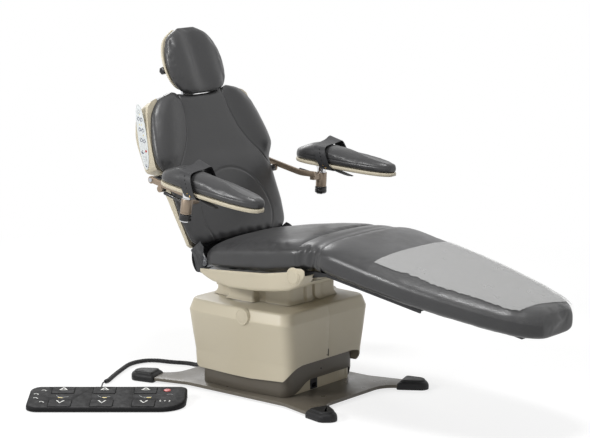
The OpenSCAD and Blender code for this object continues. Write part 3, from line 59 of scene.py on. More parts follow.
# The photograph's camera
VIEW_AZIMUTH = radians(39.261)
VIEW_RISE = radians(10.4425)
VIEW_DISTANCE = 7.4545
VIEW_TARGET = Vector((0.0797, 0.0, 0.6413))
LENS, SENSOR = 122.94, 36


def add_object(name, data):
    obj = bpy.data.objects.new(name, data)
    bpy.context.scene.collection.objects.link(obj)
    return obj


def add_camera():
    data = bpy.data.cameras.new("camera")
    data.sensor_width = SENSOR
    data.lens = LENS
    camera = add_object("camera", data)
    back = Vector((sin(VIEW_AZIMUTH) * cos(VIEW_RISE), -cos(VIEW_AZIMUTH) * cos(VIEW_RISE), sin(VIEW_RISE)))
    camera.location = VIEW_TARGET + back * VIEW_DISTANCE
    camera.rotation_euler = back.to_track_quat("Z", "Y").to_euler()
    bpy.context.scene.camera = camera


# Numbers and curves
def smooth(t):
    t = min(1.0, max(0.0, t))
    return t * t * (3 - 2 * t)


def mix(a, b, t):
    return a + (b - a) * t


def edge(t, p):
    """1 over the middle, falling to 0 at t of 1, the more squarely the higher p is."""
    return max(0.0, 1 - abs(t) ** p) ** (1 / p)


def ripple(x, y, z):
    return noise.noise(Vector((x, y, z)))


def circle(n):
    return [2 * pi * i / n for i in range(n)]


def shift(x, y, z):
    return Matrix.Translation(Vector((x, y, z)) * MM)


def spin(degrees, axis):
    return Matrix.Rotation(radians(degrees), 4, axis)


def lookup(x, pairs):
    return float(np.interp(x, [p[0] for p in pairs], [p[1] for p in pairs]))


def ease(x, pairs, span):
    """A table read with its corners rounded off over span."""
    return sum(lookup(x + span * k / 3, pairs) * (4 - abs(k)) for k in range(-3, 4)) / 16


def corner(p, q, s, r, n):
    """Points of a rounded corner at q, between p and s."""
    if r == 0:
        return [tuple(q)]
    p, q, s = (np.array(v, float) for v in (p, q, s))
    a, b = (p - q) / np.linalg.norm(p - q), (s - q) / np.linalg.norm(s - q)
    half = acos(max(-1, min(1, float(a @ b)))) / 2
    c = q + (a + b) / np.linalg.norm(a + b) * r / sin(half)
    p1, p2 = q + a * r / tan(half), q + b * r / tan(half)
    a1, a2 = (atan2(v[1] - c[1], v[0] - c[0]) for v in (p1, p2))
    turn = (a2 - a1 + 3 * pi) % (2 * pi) - pi
    return [(c[0] + r * cos(a1 + turn * i / n), c[1] + r * sin(a1 + turn * i / n)) for i in range(n + 1)]


def rounded(points, radii, n=8):
    """A closed outline with its corners rounded, by one radius or by one for each corner."""
    m = len(points)
    radii = radii if isinstance(radii, list) else [radii] * m
    return [p for i in range(m) for p in corner(points[i - 1], points[i], points[(i + 1) % m], radii[i], n)]


def spline(points, per=8):
    """A smooth line through points."""
    p = [np.array(v, float) for v in points]
    out = []
    for i in range(len(p) - 1):
        a, b, c, d = p[max(0, i - 1)], p[i], p[i + 1], p[min(len(p) - 1, i + 2)]
        for k in range(per):
            t = k / per
            out.append(0.5 * (2 * b + (c - a) * t + (2 * a - 5 * b + 4 * c - d) * t * t
                              + (3 * b - a - 3 * c + d) * t ** 3))
    return out + [p[-1]]


def offset(line, w):
    """A flat line moved sideways by w."""
    out = []
    for i, q in enumerate(line):
        a, b = line[max(0, i - 1)], line[min(len(line) - 1, i + 1)]
        d = dist(a, b)
        out.append((q[0] - (b[1] - a[1]) / d * w, q[1] + (b[0] - a[0]) / d * w))
    return out


# Meshes
def outwards(obj):
    bm = bmesh.new()
    bm.from_mesh(obj.data)
    bmesh.ops.recalc_face_normals(bm, faces=bm.faces)
    bm.to_mesh(obj.data)
    bm.free()


def flip(obj):
    for p in obj.data.polygons:
        p.flip()


def new_mesh(name, verts, faces):
    mesh = bpy.data.meshes.new(name)
    mesh.from_pydata([tuple(float(c) * MM for c in v) for v in verts], [], faces)
    mesh.validate()
    obj = add_object(name, mesh)
    outwards(obj)
    return obj


def shade(obj, angle=40):
    for p in obj.data.polygons:
        p.use_smooth = True
    if angle < 180:
        obj.data.set_sharp_from_angle(angle=radians(angle))
    return obj


def modified(obj, kind, **settings):
    """The mesh with one modifier worked in."""
    m = obj.modifiers.new(kind.lower(), kind)
    for key, value in settings.items():
        setattr(m, key, value)
    bpy.context.view_layer.update()
    graph = bpy.context.evaluated_depsgraph_get()
    mesh = bpy.data.meshes.new_from_object(obj.evaluated_get(graph))
    obj.modifiers.clear()
    obj.data = mesh
    return obj


def soften(obj, width, segments=2, angle=30):
    """A small bevel along the sharp edges."""
    return shade(modified(obj, "BEVEL", width=width * MM, segments=segments, limit_method="ANGLE",
                          angle_limit=radians(angle), harden_normals=False), 35)


def subdivide(obj):
    return shade(modified(obj, "SUBSURF", levels=1, render_levels=1), 180)


def thicken(obj, t):
    """Thickness worked in behind the face, t in millimetres."""
    return modified(obj, "SOLIDIFY", thickness=t * MM, offset=-1)


def cut(obj, *cutters):
    for c in cutters:
        modified(obj, "BOOLEAN", object=c, solver="EXACT")
        bpy.data.objects.remove(c)
    return obj


def join(name, *objs):
    """One object from several."""
    verts, faces, slots, mats, flags = [], [], [], [], []
    for o in objs:
        base = len(verts)
        verts += [o.matrix_world @ v.co for v in o.data.vertices]
        here = [mats.index(m) if m in mats else (mats.append(m) or len(mats) - 1)
                for m in (o.data.materials or [None])]
        for p in o.data.polygons:
            faces.append([base + v for v in p.vertices])
            slots.append(here[min(p.material_index, len(here) - 1)])
            flags.append(p.use_smooth)
    mesh = bpy.data.meshes.new(name)
    mesh.from_pydata([tuple(v) for v in verts], [], faces)
    for m in mats:
        mesh.materials.append(m)
    for p, k, f in zip(mesh.polygons, slots, flags):
        p.material_index = k
        p.use_smooth = f
    mesh.set_sharp_from_angle(angle=radians(38))
    for o in objs:
        bpy.data.objects.remove(o)
    return add_object(name, mesh)


def grid(name, rows, closed=False, caps=False):
    """A skin over rows of points, closed where each row is a ring."""
    n = len(rows[0])
    faces = []
    for i in range(len(rows) - 1):
        for j in range(n if closed else n - 1):
            a, b = i * n + j, i * n + (j + 1) % n
            faces.append((a, b, b + n, a + n))
    if caps:
        faces.append(tuple(range(n - 1, -1, -1)))
        faces.append(tuple((len(rows) - 1) * n + j for j in range(n)))
    return new_mesh(name, [p for r in rows for p in r], faces)


def solid(name, rows, angle):
    """A closed solid over rings, with flat ends."""
    return shade(grid(name, rows, closed=True, caps=True), angle)


def prism(name, outline, z0, z1, bevel=0.8, segments=2):
    """An outline in plan, raised from z0 to z1."""
    obj = grid(name, [[(x, y, z) for x, y in outline] for z in (z0, z1)], closed=True, caps=True)
    return soften(obj, bevel, segments) if bevel else shade(obj)


def slab(name, outline, y0, y1, bevel=0.8):
    """An outline in X and Z, carried from y0 to y1."""
    obj = grid(name, [[(x, y, z) for x, z in outline] for y in (y0, y1)], closed=True, caps=True)
    return soften(obj, bevel) if bevel else shade(obj)


def box(name, x0, x1, z0, z1, y0, y1, bevel):
    return slab(name, [(x0, z0), (x1, z0), (x1, z1), (x0, z1)], y0, y1, bevel)


def lathe(name, profile, at=(0, 0, 0), axis=(0, 0, 1), n=48):
    """A profile of (radius, height) turned about an axis through at."""
    obj = grid(name, [[(r * cos(a), r * sin(a), z) for a in circle(n)] for r, z in profile], closed=True,
               caps=True)
    turn = Vector((0, 0, 1)).rotation_difference(Vector(axis)).to_matrix().to_4x4()
    obj.data.transform(shift(*at) @ turn)
    outwards(obj)
    return shade(obj, 35)


def tube(name, points, radius, sides=12, caps=True):
    """A round tube along points."""
    p = [Vector(q) for q in points]
    rings, up = [], None
    for i, q in enumerate(p):
        t = (p[min(i + 1, len(p) - 1)] - p[max(i - 1, 0)]).normalized()
        if up is None:
            up = t.orthogonal().normalized()
        up = (up - t * up.dot(t)).normalized()
        side = t.cross(up)
        rings.append([q + radius * (cos(a) * up + sin(a) * side) for a in circle(sides)])
    return shade(grid(name, rings, closed=True, caps=caps), 60)


def place(obj, matrix):
    """Sets a piece in place; a mirrored one is turned right side out again."""
    obj.data.transform(matrix)
    if matrix.determinant() < 0:
        flip(obj)
    return obj


def shape(obj, rule):
    """Moves every point by a rule that takes and returns millimetres."""
    for v in obj.data.vertices:
        v.co = Vector(rule(v.co / MM)) * MM
    obj.data.update()
    return obj


def finish_piece(obj, body, look, *nodes, slot=None):
    """Material, body and the CAD nodes that the piece stands for; slot is not used."""
    if look is not None:
        obj.data.materials.clear()
        obj.data.materials.append(look)
    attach(obj, body)
    if nodes:
        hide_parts(*nodes)
    return obj


def bare_tree(holder):
    holder.use_nodes = True
    holder.node_tree.nodes.clear()
    return holder.node_tree


def add_node(tree, kind, inputs=None, **settings):
    """A node with its settings; an input is a value, or another node's output to link."""
    node = tree.nodes.new("ShaderNode" + kind)
    for key, value in settings.items():
        setattr(node, key, value)
    for key, value in (inputs or {}).items():
        if isinstance(value, bpy.types.NodeSocket):
            tree.links.new(value, node.inputs[key])
        else:
            node.inputs[key].default_value = value
    return node


def material(name, slot, color, roughness=0.5, metallic=0.0, vary=0.05, vary_scale=12.0, grain=900.0,
             bump=0.1, bump_depth=0.0002, rough_vary=0.06, specular=0.5, wear=0.0, streaks=None,
             edge_tint=None):
    """A surface with a slow change of colour, a fine grain and a little change of gloss."""
    mat = bpy.data.materials.new(name)
    tree = bare_tree(mat)
    where = add_node(tree, "TexCoord").outputs["Object"]
    fine_where = add_node(tree, "Mapping", {0: where, "Scale": streaks}).outputs[0] if streaks else where
    slow = add_node(tree, "TexNoise", {"Scale": vary_scale, "Detail": 5, "Roughness": 0.55, "Vector": where})
    low = [max(0.0, c * (1 - vary)) for c in color]
    high = [min(1.0, c * (1 + vary)) for c in color]
    colour = add_node(tree, "Mix", {"A": (*low, 1), "B": (*high, 1), "Factor": slow.outputs["Fac"]},
                      data_type="RGBA").outputs["Result"]
    if wear:
        geometry = add_node(tree, "NewGeometry")
        edges = add_node(tree, "MapRange", {"From Min": 0.52, "From Max": 0.62, "To Max": wear,
                                            "Value": geometry.outputs["Pointiness"]})
        worn = edge_tint or [min(1, c * 1.6 + 0.05) for c in color]
        colour = add_node(tree, "Mix", {"A": colour, "B": (*worn, 1), "Factor": edges.outputs[0]},
                          data_type="RGBA").outputs["Result"]
    patch = add_node(tree, "TexNoise", {"Scale": vary_scale * 3.1, "Detail": 4, "Vector": where})
    gloss = add_node(tree, "MapRange", {"From Min": 0.3, "From Max": 0.7,
                                        "To Min": max(0.02, roughness - rough_vary),
                                        "To Max": min(1.0, roughness + rough_vary),
                                        "Value": patch.outputs["Fac"]})
    fine = add_node(tree, "TexNoise", {"Scale": grain, "Detail": 3, "Vector": fine_where})
    relief = add_node(tree, "Bump", {"Strength": bump, "Distance": bump_depth, "Height": fine.outputs["Fac"]})
    surface = add_node(tree, "BsdfPrincipled", {
        "Metallic": metallic, "Specular IOR Level": specular, "Base Color": colour,
        "Roughness": gloss.outputs[0], "Normal": relief.outputs[0]})
    add_node(tree, "OutputMaterial", {0: surface.outputs[0]})
    return mat


def adjust(mat, inputs):
    """Sets or links inputs of a material's surface."""
    surface = next(n for n in mat.node_tree.nodes if n.type == "BSDF_PRINCIPLED")
    for key, value in inputs.items():
        if isinstance(value, bpy.types.NodeSocket):
            mat.node_tree.links.new(value, surface.inputs[key])
        else:
            surface.inputs[key].default_value = value
    return mat


def hide_material(name, color, roughness, scale=420.0):
    """Upholstery: pebbled cells, broad creases and a soft sheen."""
    mat = material(name, "hide", color, roughness=roughness, vary=0.09, vary_scale=7.0, grain=scale * 2.2,
                   rough_vary=0.04, wear=0.1, edge_tint=[min(1, c * 1.5 + 0.01) for c in color])
    tree = mat.node_tree
    where = add_node(tree, "TexCoord").outputs["Object"]
    cells = add_node(tree, "TexVoronoi", {"Scale": scale, "Smoothness": 0.4, "Vector": where},
                     feature="SMOOTH_F1")
    broad = add_node(tree, "TexNoise", {"Scale": 14.0, "Detail": 6, "Distortion": 0.6, "Vector": where})
    pebbles = add_node(tree, "Bump", {"Strength": 0.14, "Distance": 0.0006,
                                      "Height": cells.outputs["Distance"]})
    folds = add_node(tree, "Bump", {"Strength": 0.16, "Distance": 0.004, "Height": broad.outputs["Fac"],
                                    "Normal": pebbles.outputs[0]})
    return adjust(mat, {"Sheen Weight": 0.04, "Sheen Roughness": 0.45, "Normal": folds.outputs[0]})


def clear_film(name, cover, roughness, shine):
    """A thin clear cover: a glossy skin over what shows through."""
    mat = material(name, "clear_cover", srgb(222, 222, 221), roughness=roughness, vary=0.02, vary_scale=6,
                   grain=60, bump=0.3, bump_depth=0.0012, rough_vary=0.03, specular=shine)
    return adjust(mat, {"Alpha": cover, "IOR": 1.5})


def srgb(r, g, b):
    """A colour read as it shows, out of 255, turned to linear values."""
    return [((c / 255 + 0.055) / 1.055) ** 2.4 if c > 10 else c / 255 / 12.92 for c in (r, g, b)]


def black(name, level, **look):
    return material(name, "black_plastic", srgb(*level), grain=1500, **look)


def ink(name, slot, color, roughness, vary):
    return material(name + "_print", slot, srgb(*color), roughness=roughness, vary=vary, vary_scale=60,
                    grain=1500, bump=0.05)


leather = hide_material("upholstery", srgb(53, 53, 54), 0.35)
leather_dark = hide_material("strap_hide", srgb(38, 38, 40), 0.5, 600)
gather_cloth = hide_material("gathered_cover", srgb(46, 47, 49), 0.62, 520)
beige = material("beige_moulding", "beige_plastic", srgb(197, 188, 166), roughness=0.36, vary=0.03,
                 vary_scale=5, grain=1400, bump=0.06, wear=0.2, edge_tint=srgb(222, 214, 195), specular=0.45)
beige_trim = material("beige_trim", "beige_plastic", srgb(196, 186, 162), roughness=0.4, vary=0.04,
                      vary_scale=9, grain=1200, bump=0.08, wear=0.2, edge_tint=srgb(222, 214, 195))
enamel = material("plate_enamel", "plate_paint", srgb(98, 92, 82), roughness=0.34, specular=0.4, vary_scale=4,
                  grain=700, bump=0.12, wear=0.35, edge_tint=srgb(165, 158, 145), rough_vary=0.09)
taupe = material("skirt_enamel", "taupe_paint", srgb(92, 86, 76), roughness=0.42, vary_scale=5, grain=800,
                 wear=0.3, edge_tint=srgb(140, 133, 120))
black_mould = black("black_moulding", (27, 27, 28), specular=0.25, vary=0.12, vary_scale=20, bump=0.25,
                    bump_depth=0.0003, wear=0.5, edge_tint=srgb(72, 72, 74))
pedal_black = black("foot_control_black", (22, 22, 23), roughness=0.6, specular=0.14, vary=0.1,
                    vary_scale=16, bump=0.2, bump_depth=0.0003)
black_gloss = black("black_gloss", (20, 20, 22), roughness=0.26, vary=0.1, vary_scale=20, bump=0.08,
                    wear=0.4, edge_tint=srgb(80, 80, 82))
rubber = material("cord_rubber", "rubber", srgb(30, 30, 32), vary=0.12, vary_scale=40, grain=1800, bump=0.15)
bronze_paint = material("bronze_enamel", "bronze_paint", srgb(143, 127, 110), roughness=0.33, metallic=0.55,
                        vary=0.06, vary_scale=8, grain=1100, wear=0.5, edge_tint=srgb(190, 175, 158))
chrome = material("polished_steel", "polished_steel", (0.72, 0.72, 0.73), roughness=0.14, metallic=1.0,
                  vary=0.03, vary_scale=10, grain=600, bump=0.03, streaks=(1, 1, 14), rough_vary=0.04)
zinc = material("zinc_plate", "zinc_steel", (0.52, 0.53, 0.55), roughness=0.38, metallic=1.0, vary=0.1,
                vary_scale=26, grain=500, streaks=(1, 9, 1), rough_vary=0.1)
brass = material("brass_stud", "bronze_paint", srgb(176, 146, 92), roughness=0.3, metallic=1.0, vary=0.08,
                 vary_scale=60, bump=0.06)
pale_grey = material("pale_membrane", "grey_plastic", srgb(214, 218, 218), roughness=0.42, vary=0.04,
                     vary_scale=14, grain=1500, bump=0.08, wear=0.2)
case_grey = material("case_grey", "grey_plastic", srgb(150, 152, 152), vary_scale=10, grain=1000, bump=0.2)
navy_ink = ink("navy", "grey_plastic", (42, 50, 84), 0.4, 0.08)
red_ink = ink("red", "red_plastic", (176, 44, 40), 0.34, 0.06)
yellow_ink = ink("yellow", "grey_plastic", (216, 190, 70), 0.4, 0.05)
white_ink = ink("white", "grey_plastic", (214, 214, 210), 0.45, 0.04)
shadow_line = material("seam_shadow", None, srgb(58, 53, 45), roughness=0.7, vary=0.1, vary_scale=40)
film = clear_film("clear_film", 0.02, 0.07, 0.42)
# A pale, half-opaque film laid over the foot cover's flat top: a painted reflection.
painted_reflection = clear_film("film_painted_reflection", 0.36, 0.3, 0.5)


# Cord of the foot control, which comes first with the camera
add_camera()
LEAD = [(-206, -50, 34), (-226, -50, 34), (-244, -49, 32)]
ROUTE = [(-268, -47, 29), (-310, -40, 27.4), (-350, -30, 27), (-378, -24, 19), (-402, -19, 10.4),
         (-424, -17, 9), (-453, -21, 9), (-511, -46, 9), (-573, -67, 9), (-606, -104, 9), (-612, -171, 9),
         (-571, -270, 9), (-534, -346, 9), (-506, -400, 9), (-502, -424, 9)]
TAIL = [(-493, -444, 9), (-476, -464, 9), (-446, -500, 9), (-420, -531, 12), (-404, -550.2, 16),
        (-388.8, -568.8, 16)]
WIRE = 5.6
CURL_R = 5.9
CURLS = 128
TURN_STEPS, END_STEPS = 16, 24


def make_cord():
    """The wire's own line: straight at its ends and wound round the route between them."""
    way = np.array(spline(LEAD + ROUTE + TAIL, 10))
    sums = np.concatenate([[0], np.cumsum(np.linalg.norm(np.diff(way, axis=0), axis=1))])
    start, stop, end = sums[10 * len(LEAD)], sums[10 * (len(LEAD) + len(ROUTE) - 1)], sums[-1]

    def on_way(s):
        return np.array([np.interp(s, sums, way[:, k]) for k in range(3)])

    steps = [start * i / END_STEPS for i in range(END_STEPS)]
    steps += [mix(start, stop, i / (CURLS * TURN_STEPS)) for i in range(CURLS * TURN_STEPS + 1)]
    steps += [mix(stop, end, i / END_STEPS) for i in range(1, END_STEPS + 1)]
    ramp = (stop - start) / CURLS
    points = []
    for s in steps:
        t = on_way(min(end, s + 2)) - on_way(max(0, s - 2))
        t /= np.linalg.norm(t)
        side = np.array([-t[1], t[0], 0]) / hypot(t[0], t[1])
        up = np.cross(t, side)
        turn = (min(stop, max(start, s)) - start) / (stop - start) * CURLS * 2 * pi
        r = CURL_R * smooth((s - start) / ramp) * smooth((stop - s) / ramp)
        points.append(on_way(s) + r * (cos(turn) * side + sin(turn) * up))
    cord = tube("foot_cord_coil", [tuple(p) for p in points], WIRE / 2, sides=10)
    finish_piece(cord, "base", rubber, "foot_cord")


make_cord()
gland = lathe("cord_strain_relief", [(9, -1), (9, 4), (8.4, 5.2), (7.2, 6), (6.6, 7), (6.9, 8), (6.3, 9.4),
                                     (6.6, 10.4), (6.0, 11.8), (6.3, 12.8), (5.6, 14.2), (5.8, 15.2),
                                     (5.2, 17), (4.6, 19.6), (3.6, 21), (2.9, 21)],
              at=(-205, -50, 34), axis=(-1, 0, 0), n=32)
finish_piece(gland, "base", rubber, "cord_gland")

# Base plate and its feet
PLATE_Z, PLATE_T = 7, 12
FOOT_X, FOOT_Y = 440, 266
CAP_LEN, CAP_W, CAP_WALL = 110, 98, 7
CAP_SHARES = [(-0.36, -0.66), (0.64, 0.08), (0.15, 0.57), (-0.66, 0.36)]
PLATE_TOP = PLATE_Z + PLATE_T


def foot_share(i, g):
    return FOOT_X + CAP_SHARES[i][0] * (CAP_LEN + g), FOOT_Y + CAP_SHARES[i][1] * (CAP_W + g)


def plate_line():
    q = [(357, FOOT_Y - 90), foot_share(1, -2 * CAP_WALL), foot_share(2, -2 * CAP_WALL),
         (FOOT_X - 205, 254)]
    radii = [90, 23, 23, 90]
    points = q + [(-x, y) for x, y in q[::-1]] + [(-x, -y) for x, y in q] + [(x, -y) for x, y in q[::-1]]
    return rounded(points, radii + radii[::-1] + radii + radii[::-1], 12)


def cap_line(g):
    return rounded([foot_share(i, -2 * g) for i in range(4)], [9, 30, 30, 9], 10)


CORNERS = [(sx, sy) for sx in (1, -1) for sy in (1, -1)]
CAP_ROWS = [(1, 0.6), (2, 0), (13, 0), (17.5, 0.6), (21.5, 1.8), (25, 3.8), (27.6, 6.2), (29.2, 8.4),
            (30, 10), (31.6, 10.7), (33.6, 11.6), (35.4, 13), (36.7, 15), (37.3, 18)]
plate = prism("pedestal_plate", plate_line(), PLATE_Z, PLATE_TOP, bevel=1.6, segments=3)
finish_piece(plate, "base", enamel, "base_plate")
caps = [solid("cap", [[(sx * x, sy * y, z) for x, y in cap_line(g)] for z, g in CAP_ROWS], 50)
        for sx, sy in CORNERS]
finish_piece(join("foot_caps_moulded", *caps), "base", black_mould, "foot_caps")
pads = [lathe("pad", [(20, 0), (23.4, 0.4), (24, 1.4), (24, 4.6), (23, 6), (12, 6.8)],
              at=(sx * FOOT_X, sy * FOOT_Y, 0), n=40) for sx, sy in CORNERS]
finish_piece(join("levelling_pads", *pads), "base", zinc, "levelling_feet")

# Pedestal covers
BOW, BOW_R = 12, 900


def plan(xf, xr, hm, he, r, n=12):
    return rounded([(xf, -he), (xf, he), (0, hm), (-xr, he), (-xr, -he), (0, -hm)],
                   [r, r, BOW_R, r, r, BOW_R], n)


def denser(points, step):
    """A closed outline with points no further apart than step."""
    out = []
    for i, p in enumerate(points):
        q = points[(i + 1) % len(points)]
        k = max(1, int(dist(p, q) / step))
        out += [(mix(p[0], q[0], j / k), mix(p[1], q[1], j / k)) for j in range(k)]
    return out


def chassis_panel():
    """The fixed cover's wall, its inlet opening and the small access panel's seams."""
    line = denser(plan(195, 205, 206, 194, 34), 9)
    wall = grid("fixed_cover", [[(x, y, z) for x, y in line] for z in
                                (19.2, 20, 40, 64, 90, 140, 200, 262, 270, 272)], closed=True)
    wall = thicken(wall, 2)
    hole = box("hole", 180, 210, 20.2, 64.6, -53, -11, 0)
    port = box("port", 180, 210, 10, 61.4, 116.4, 157.6, 0)
    return soften(cut(wall, hole, port), 0.5, 2)


finish_piece(chassis_panel(), "base", beige_trim, "chassis_box")
hatch = box("access_hatch", 193, 194.8, 19.2, 60.6, 117.3, 156.7, 0.7)
finish_piece(hatch, "base", beige_trim, "access_panel")

SKIRT_EDGE = [(-213, 20), (-180, 20), (-166, 21.5), (-150, 25), (-137, 30), (-124, 36), (-112, 43),
              (-102, 49), (-92, 54.5), (-84, 58), (-72, 61.4), (-60, 63), (180, 63), (191, 60.5),
              (201, 52), (207, 42), (211, 30), (214, 27)]


def skirt_low(x, y, front, rear):
    """The lower edge: level along the sides, lifted in an S across the front and the rear."""
    t = smooth((x - front + 34) / 22) if x > 0 else smooth((-x - rear + 34) / 22)
    return mix(20, ease(y, SKIRT_EDGE, 5), t)


def skirt():
    front, rear, half = 204.5, 214.5, 215.5
    line = denser(plan(front, rear, half, half - BOW, 42, 16), 6)
    rows = [[(x, y, mix(322, skirt_low(x, y, front, rear), k / 12)) for x, y in line] for k in range(13)]
    return soften(thicken(grid("riser_skirt", rows, closed=True), 2), 0.6, 2, angle=50)


finish_piece(skirt(), "riser", taupe, "middle_skirt")
screw = lathe("skirt_screw", [(0.4, -1), (3.0, -1), (3.4, 0.2), (3.0, 1.0), (2.2, 1.2), (1.7, 0.4),
                              (0.3, 0.3)], at=(204.5, 0, 93), axis=(1, 0, 0), n=24)
finish_piece(screw, "riser", black_mould)

# Moulded shroud
SHROUD = [(238, 241, 236, 219, 40, 143), (242, 245, 252, 234, 44, 220), (245, 249, 265, 246, 48, 290),
          (246, 250, 266.4, 247.4, 48, 299), (244.6, 248.4, 264.6, 245.6, 48, 304),
          (236, 240, 253, 234, 45, 336), (231, 235, 246, 228, 43, 341.5), (190, 200, 182, 172, 40, 347),
          (118, 118, 96, 94, 8, 351)]
SHROUD_HEM = (237.6, 240.6, 232, 216, 40)
SEAM, SHROUD_T, HEM_ROWS = 0.35, 4, 12
DENSE, PROFILE_ROWS, CREASE_R = 900, 44, 5


def half_plan(xf, xr, hm, he, r):
    r = max(r, 4)
    run = [(xf, SEAM)]
    run += [(xf, mix(SEAM, he - r, k / 7)) for k in range(1, 7)]
    run += corner((xf, SEAM), (xf, he), (0, hm), r, 12)
    run += corner((xf, he), (0, hm), (-xr, he), BOW_R, 20) if hm - he > 3 else \
        [(mix(xf - r, -xr + r, k / 20), mix(he, hm, 1 - abs(k - 10) / 10)) for k in range(21)]
    run += corner((0, hm), (-xr, he), (-xr, SEAM), r, 12)
    run += [(-xr, mix(he - r, SEAM, k / 7)) for k in range(1, 7)]
    return run + [(-xr, SEAM)]


def shroud_low(x, y):
    """The lower edge: low along the sides, lifted in an S round the corners."""
    run = abs(x) + 0.5 * max(0, 219 - abs(y))
    return mix(76, 139, smooth((run - 180) / 95 if x > 0 else (run - 200) / 95))


def shroud_profile():
    """Rows of the profile, close together at the creases and rounded there."""
    last = len(SHROUD) - 1
    at = np.linspace(0, last, 24 * last + 1)
    raw = np.array([np.interp(at, range(last + 1), column) for column in np.array(SHROUD).T]).T
    run = np.concatenate([[0], np.cumsum(np.hypot(np.diff(raw[:, 2]), np.diff(raw[:, 5])))])
    dense = np.linspace(0, run[-1], DENSE)
    table = np.array([np.interp(dense, run, raw[:, k]) for k in range(6)])
    reach = int(CREASE_R / (run[-1] / (DENSE - 1)))
    kernel = np.hanning(2 * reach + 3)[1:-1]
    kernel /= kernel.sum()
    padded = np.pad(table, ((0, 0), (reach, reach)), mode="edge")
    soft = np.array([np.convolve(row, kernel, mode="valid") for row in padded])
    turn = np.abs(np.gradient(np.gradient(soft[2]))) + np.abs(np.gradient(np.gradient(soft[5])))
    weight = np.cumsum(0.004 + turn / turn.max() * 0.05)
    picks = np.interp(np.linspace(weight[0], weight[-1], PROFILE_ROWS), weight, np.arange(DENSE))
    return [soft[:, int(round(p))] for p in picks]


def shroud_half(name, side):
    profile = shroud_profile()
    rows = []
    for t in [k / HEM_ROWS for k in range(HEM_ROWS)]:
        line = half_plan(*[mix(a, b, t) for a, b in zip(SHROUD_HEM, profile[0][:5])])
        rows.append([(x, side * y, mix(shroud_low(x, y), SHROUD[0][5], t)) for x, y in line])
    for q in profile:
        rows.append([(x, side * y, q[5]) for x, y in half_plan(*q[:5])])
    obj = grid(name, rows)
    if sum(p.normal.z for p in obj.data.polygons if p.center.z > 0.34) < 0:
        flip(obj)
    return soften(thicken(obj, SHROUD_T), 0.9, 3, angle=60)


for name, side in (("shroud_left", 1), ("shroud_right", -1)):
    finish_piece(shroud_half(name + "_moulding", side), "carriage", beige, name)
# Dark strips just inside the seam between the two halves: painted shade in the gap.
strips = [slab("strip", [(x0, 146), (x1, 146), (x1 + out, 292), (x0 + out, 292)], -3, 3, bevel=0)
          for x0, x1, out in ((236, 239, 3), (-243, -240, -3))]
finish_piece(join("shroud_seam_shadow_strips", *strips), "carriage", shadow_line)
# The front screw is given the colour of the seam's painted shade.
screw = lathe("shroud_front_screw", [(0.3, -0.6), (2.1, -0.6), (2.3, 0.1), (1.9, 0.5), (1.3, 0.1),
                                     (0.3, 0.1)], at=(238.4, -7, 151), axis=(1, 0, 0), n=20)
finish_piece(screw, "carriage", shadow_line)
discs = [lathe("disc", [(10, -26), (28.6, -26), (29, -24), (29, 0.6), (28.5, 1.7), (27.4, 2.0), (25.6, 1.7),
                        (24.8, 1.15), (24.0, 1.5), (12, 1.9), (0.4, 1.95)],
               at=(47, side * 266, 313), axis=(0, side, 0), n=72) for side in (1, -1)]
finish_piece(join("shroud_round_caps", *discs), "carriage", beige, "shroud_caps")

# Neck cover over the seat's carrier
NECK = [(157, 5), (169, 8), (169, 40), (160, 44), (165, 60), (163, 137), (60, 144), (52, 137), (22, 137),
        (22, 175), (-95, 175), (-95, 144), (-150, 144), (-192, 132), (-200, 60)]
NECK_R = [0.1, 3, 3, 2, 4, 18, 6, 4, 4, 10, 10, 6, 12, 24, 20]


def neck_top(x):
    return ease(x, [(-250, 400), (-150, 400), (-95, 402), (60, 438), (250, 438)], 8)


def neck():
    half = rounded([(157, -20)] + NECK + [(-200, -20)], [0] + NECK_R + [0], 8)[1:-1]
    half = [p for p in half if p[1] > 0.2]
    line = denser(half + [(x, -y) for x, y in half[::-1]], 8)

    def row(z, g):
        return [(x + copysign(g, x), y + copysign(g, y), z if z > 0 else neck_top(x) + z) for x, y in line]
    rows = [row(z, g) for z, g in ((350.5, 10), (352, 9.4), (354, 7.4), (357, 4.8), (361, 2.3), (366, 0.7),
                                   (372, 0))]
    rows.append([(x, y, mix(372, neck_top(x), 0.5)) for x, y in line])
    rows += [row(z, g) for z, g in ((-1.4, 0), (-0.4, -0.4), (0, -1.4), (0, -4), (-18, -4))]
    return shade(grid("neck_moulding", rows, closed=True), 40)


finish_piece(neck(), "carriage", beige, "neck_cover")

# Seat
UNDER = [(-165, 466), (-135, 468), (153, 489), (345, 522), (360, 525)]
TUB_EDGE = [(-170, 463), (-165, 459), (-158, 449), (-140, 437), (-108, 425), (-24, 411), (104, 415),
            (200, 427), (261, 439), (310, 462), (336, 500), (344, 512)]
SEAT_EDGE = [(-164, 542), (-100, 564), (37, 590), (170, 610), (300, 623), (332, 624)]
SEAT_WIDTH = [(-164, 0.92), (-120, 0.965), (-60, 0.985), (0, 1), (290, 1), (332, 0.97)]
TUB_HALF, SEAT_HALF, SEAT_REAR, SEAT_FRONT = 262, 270, -164, 330
TUB_WALL = TUB_HALF - 0.1
KNEE_X, KNEE_Z, PIVOT_R = 286, 493, 29
SEAT_INSET, CROWN, WAIST = 3, 8, 0.45


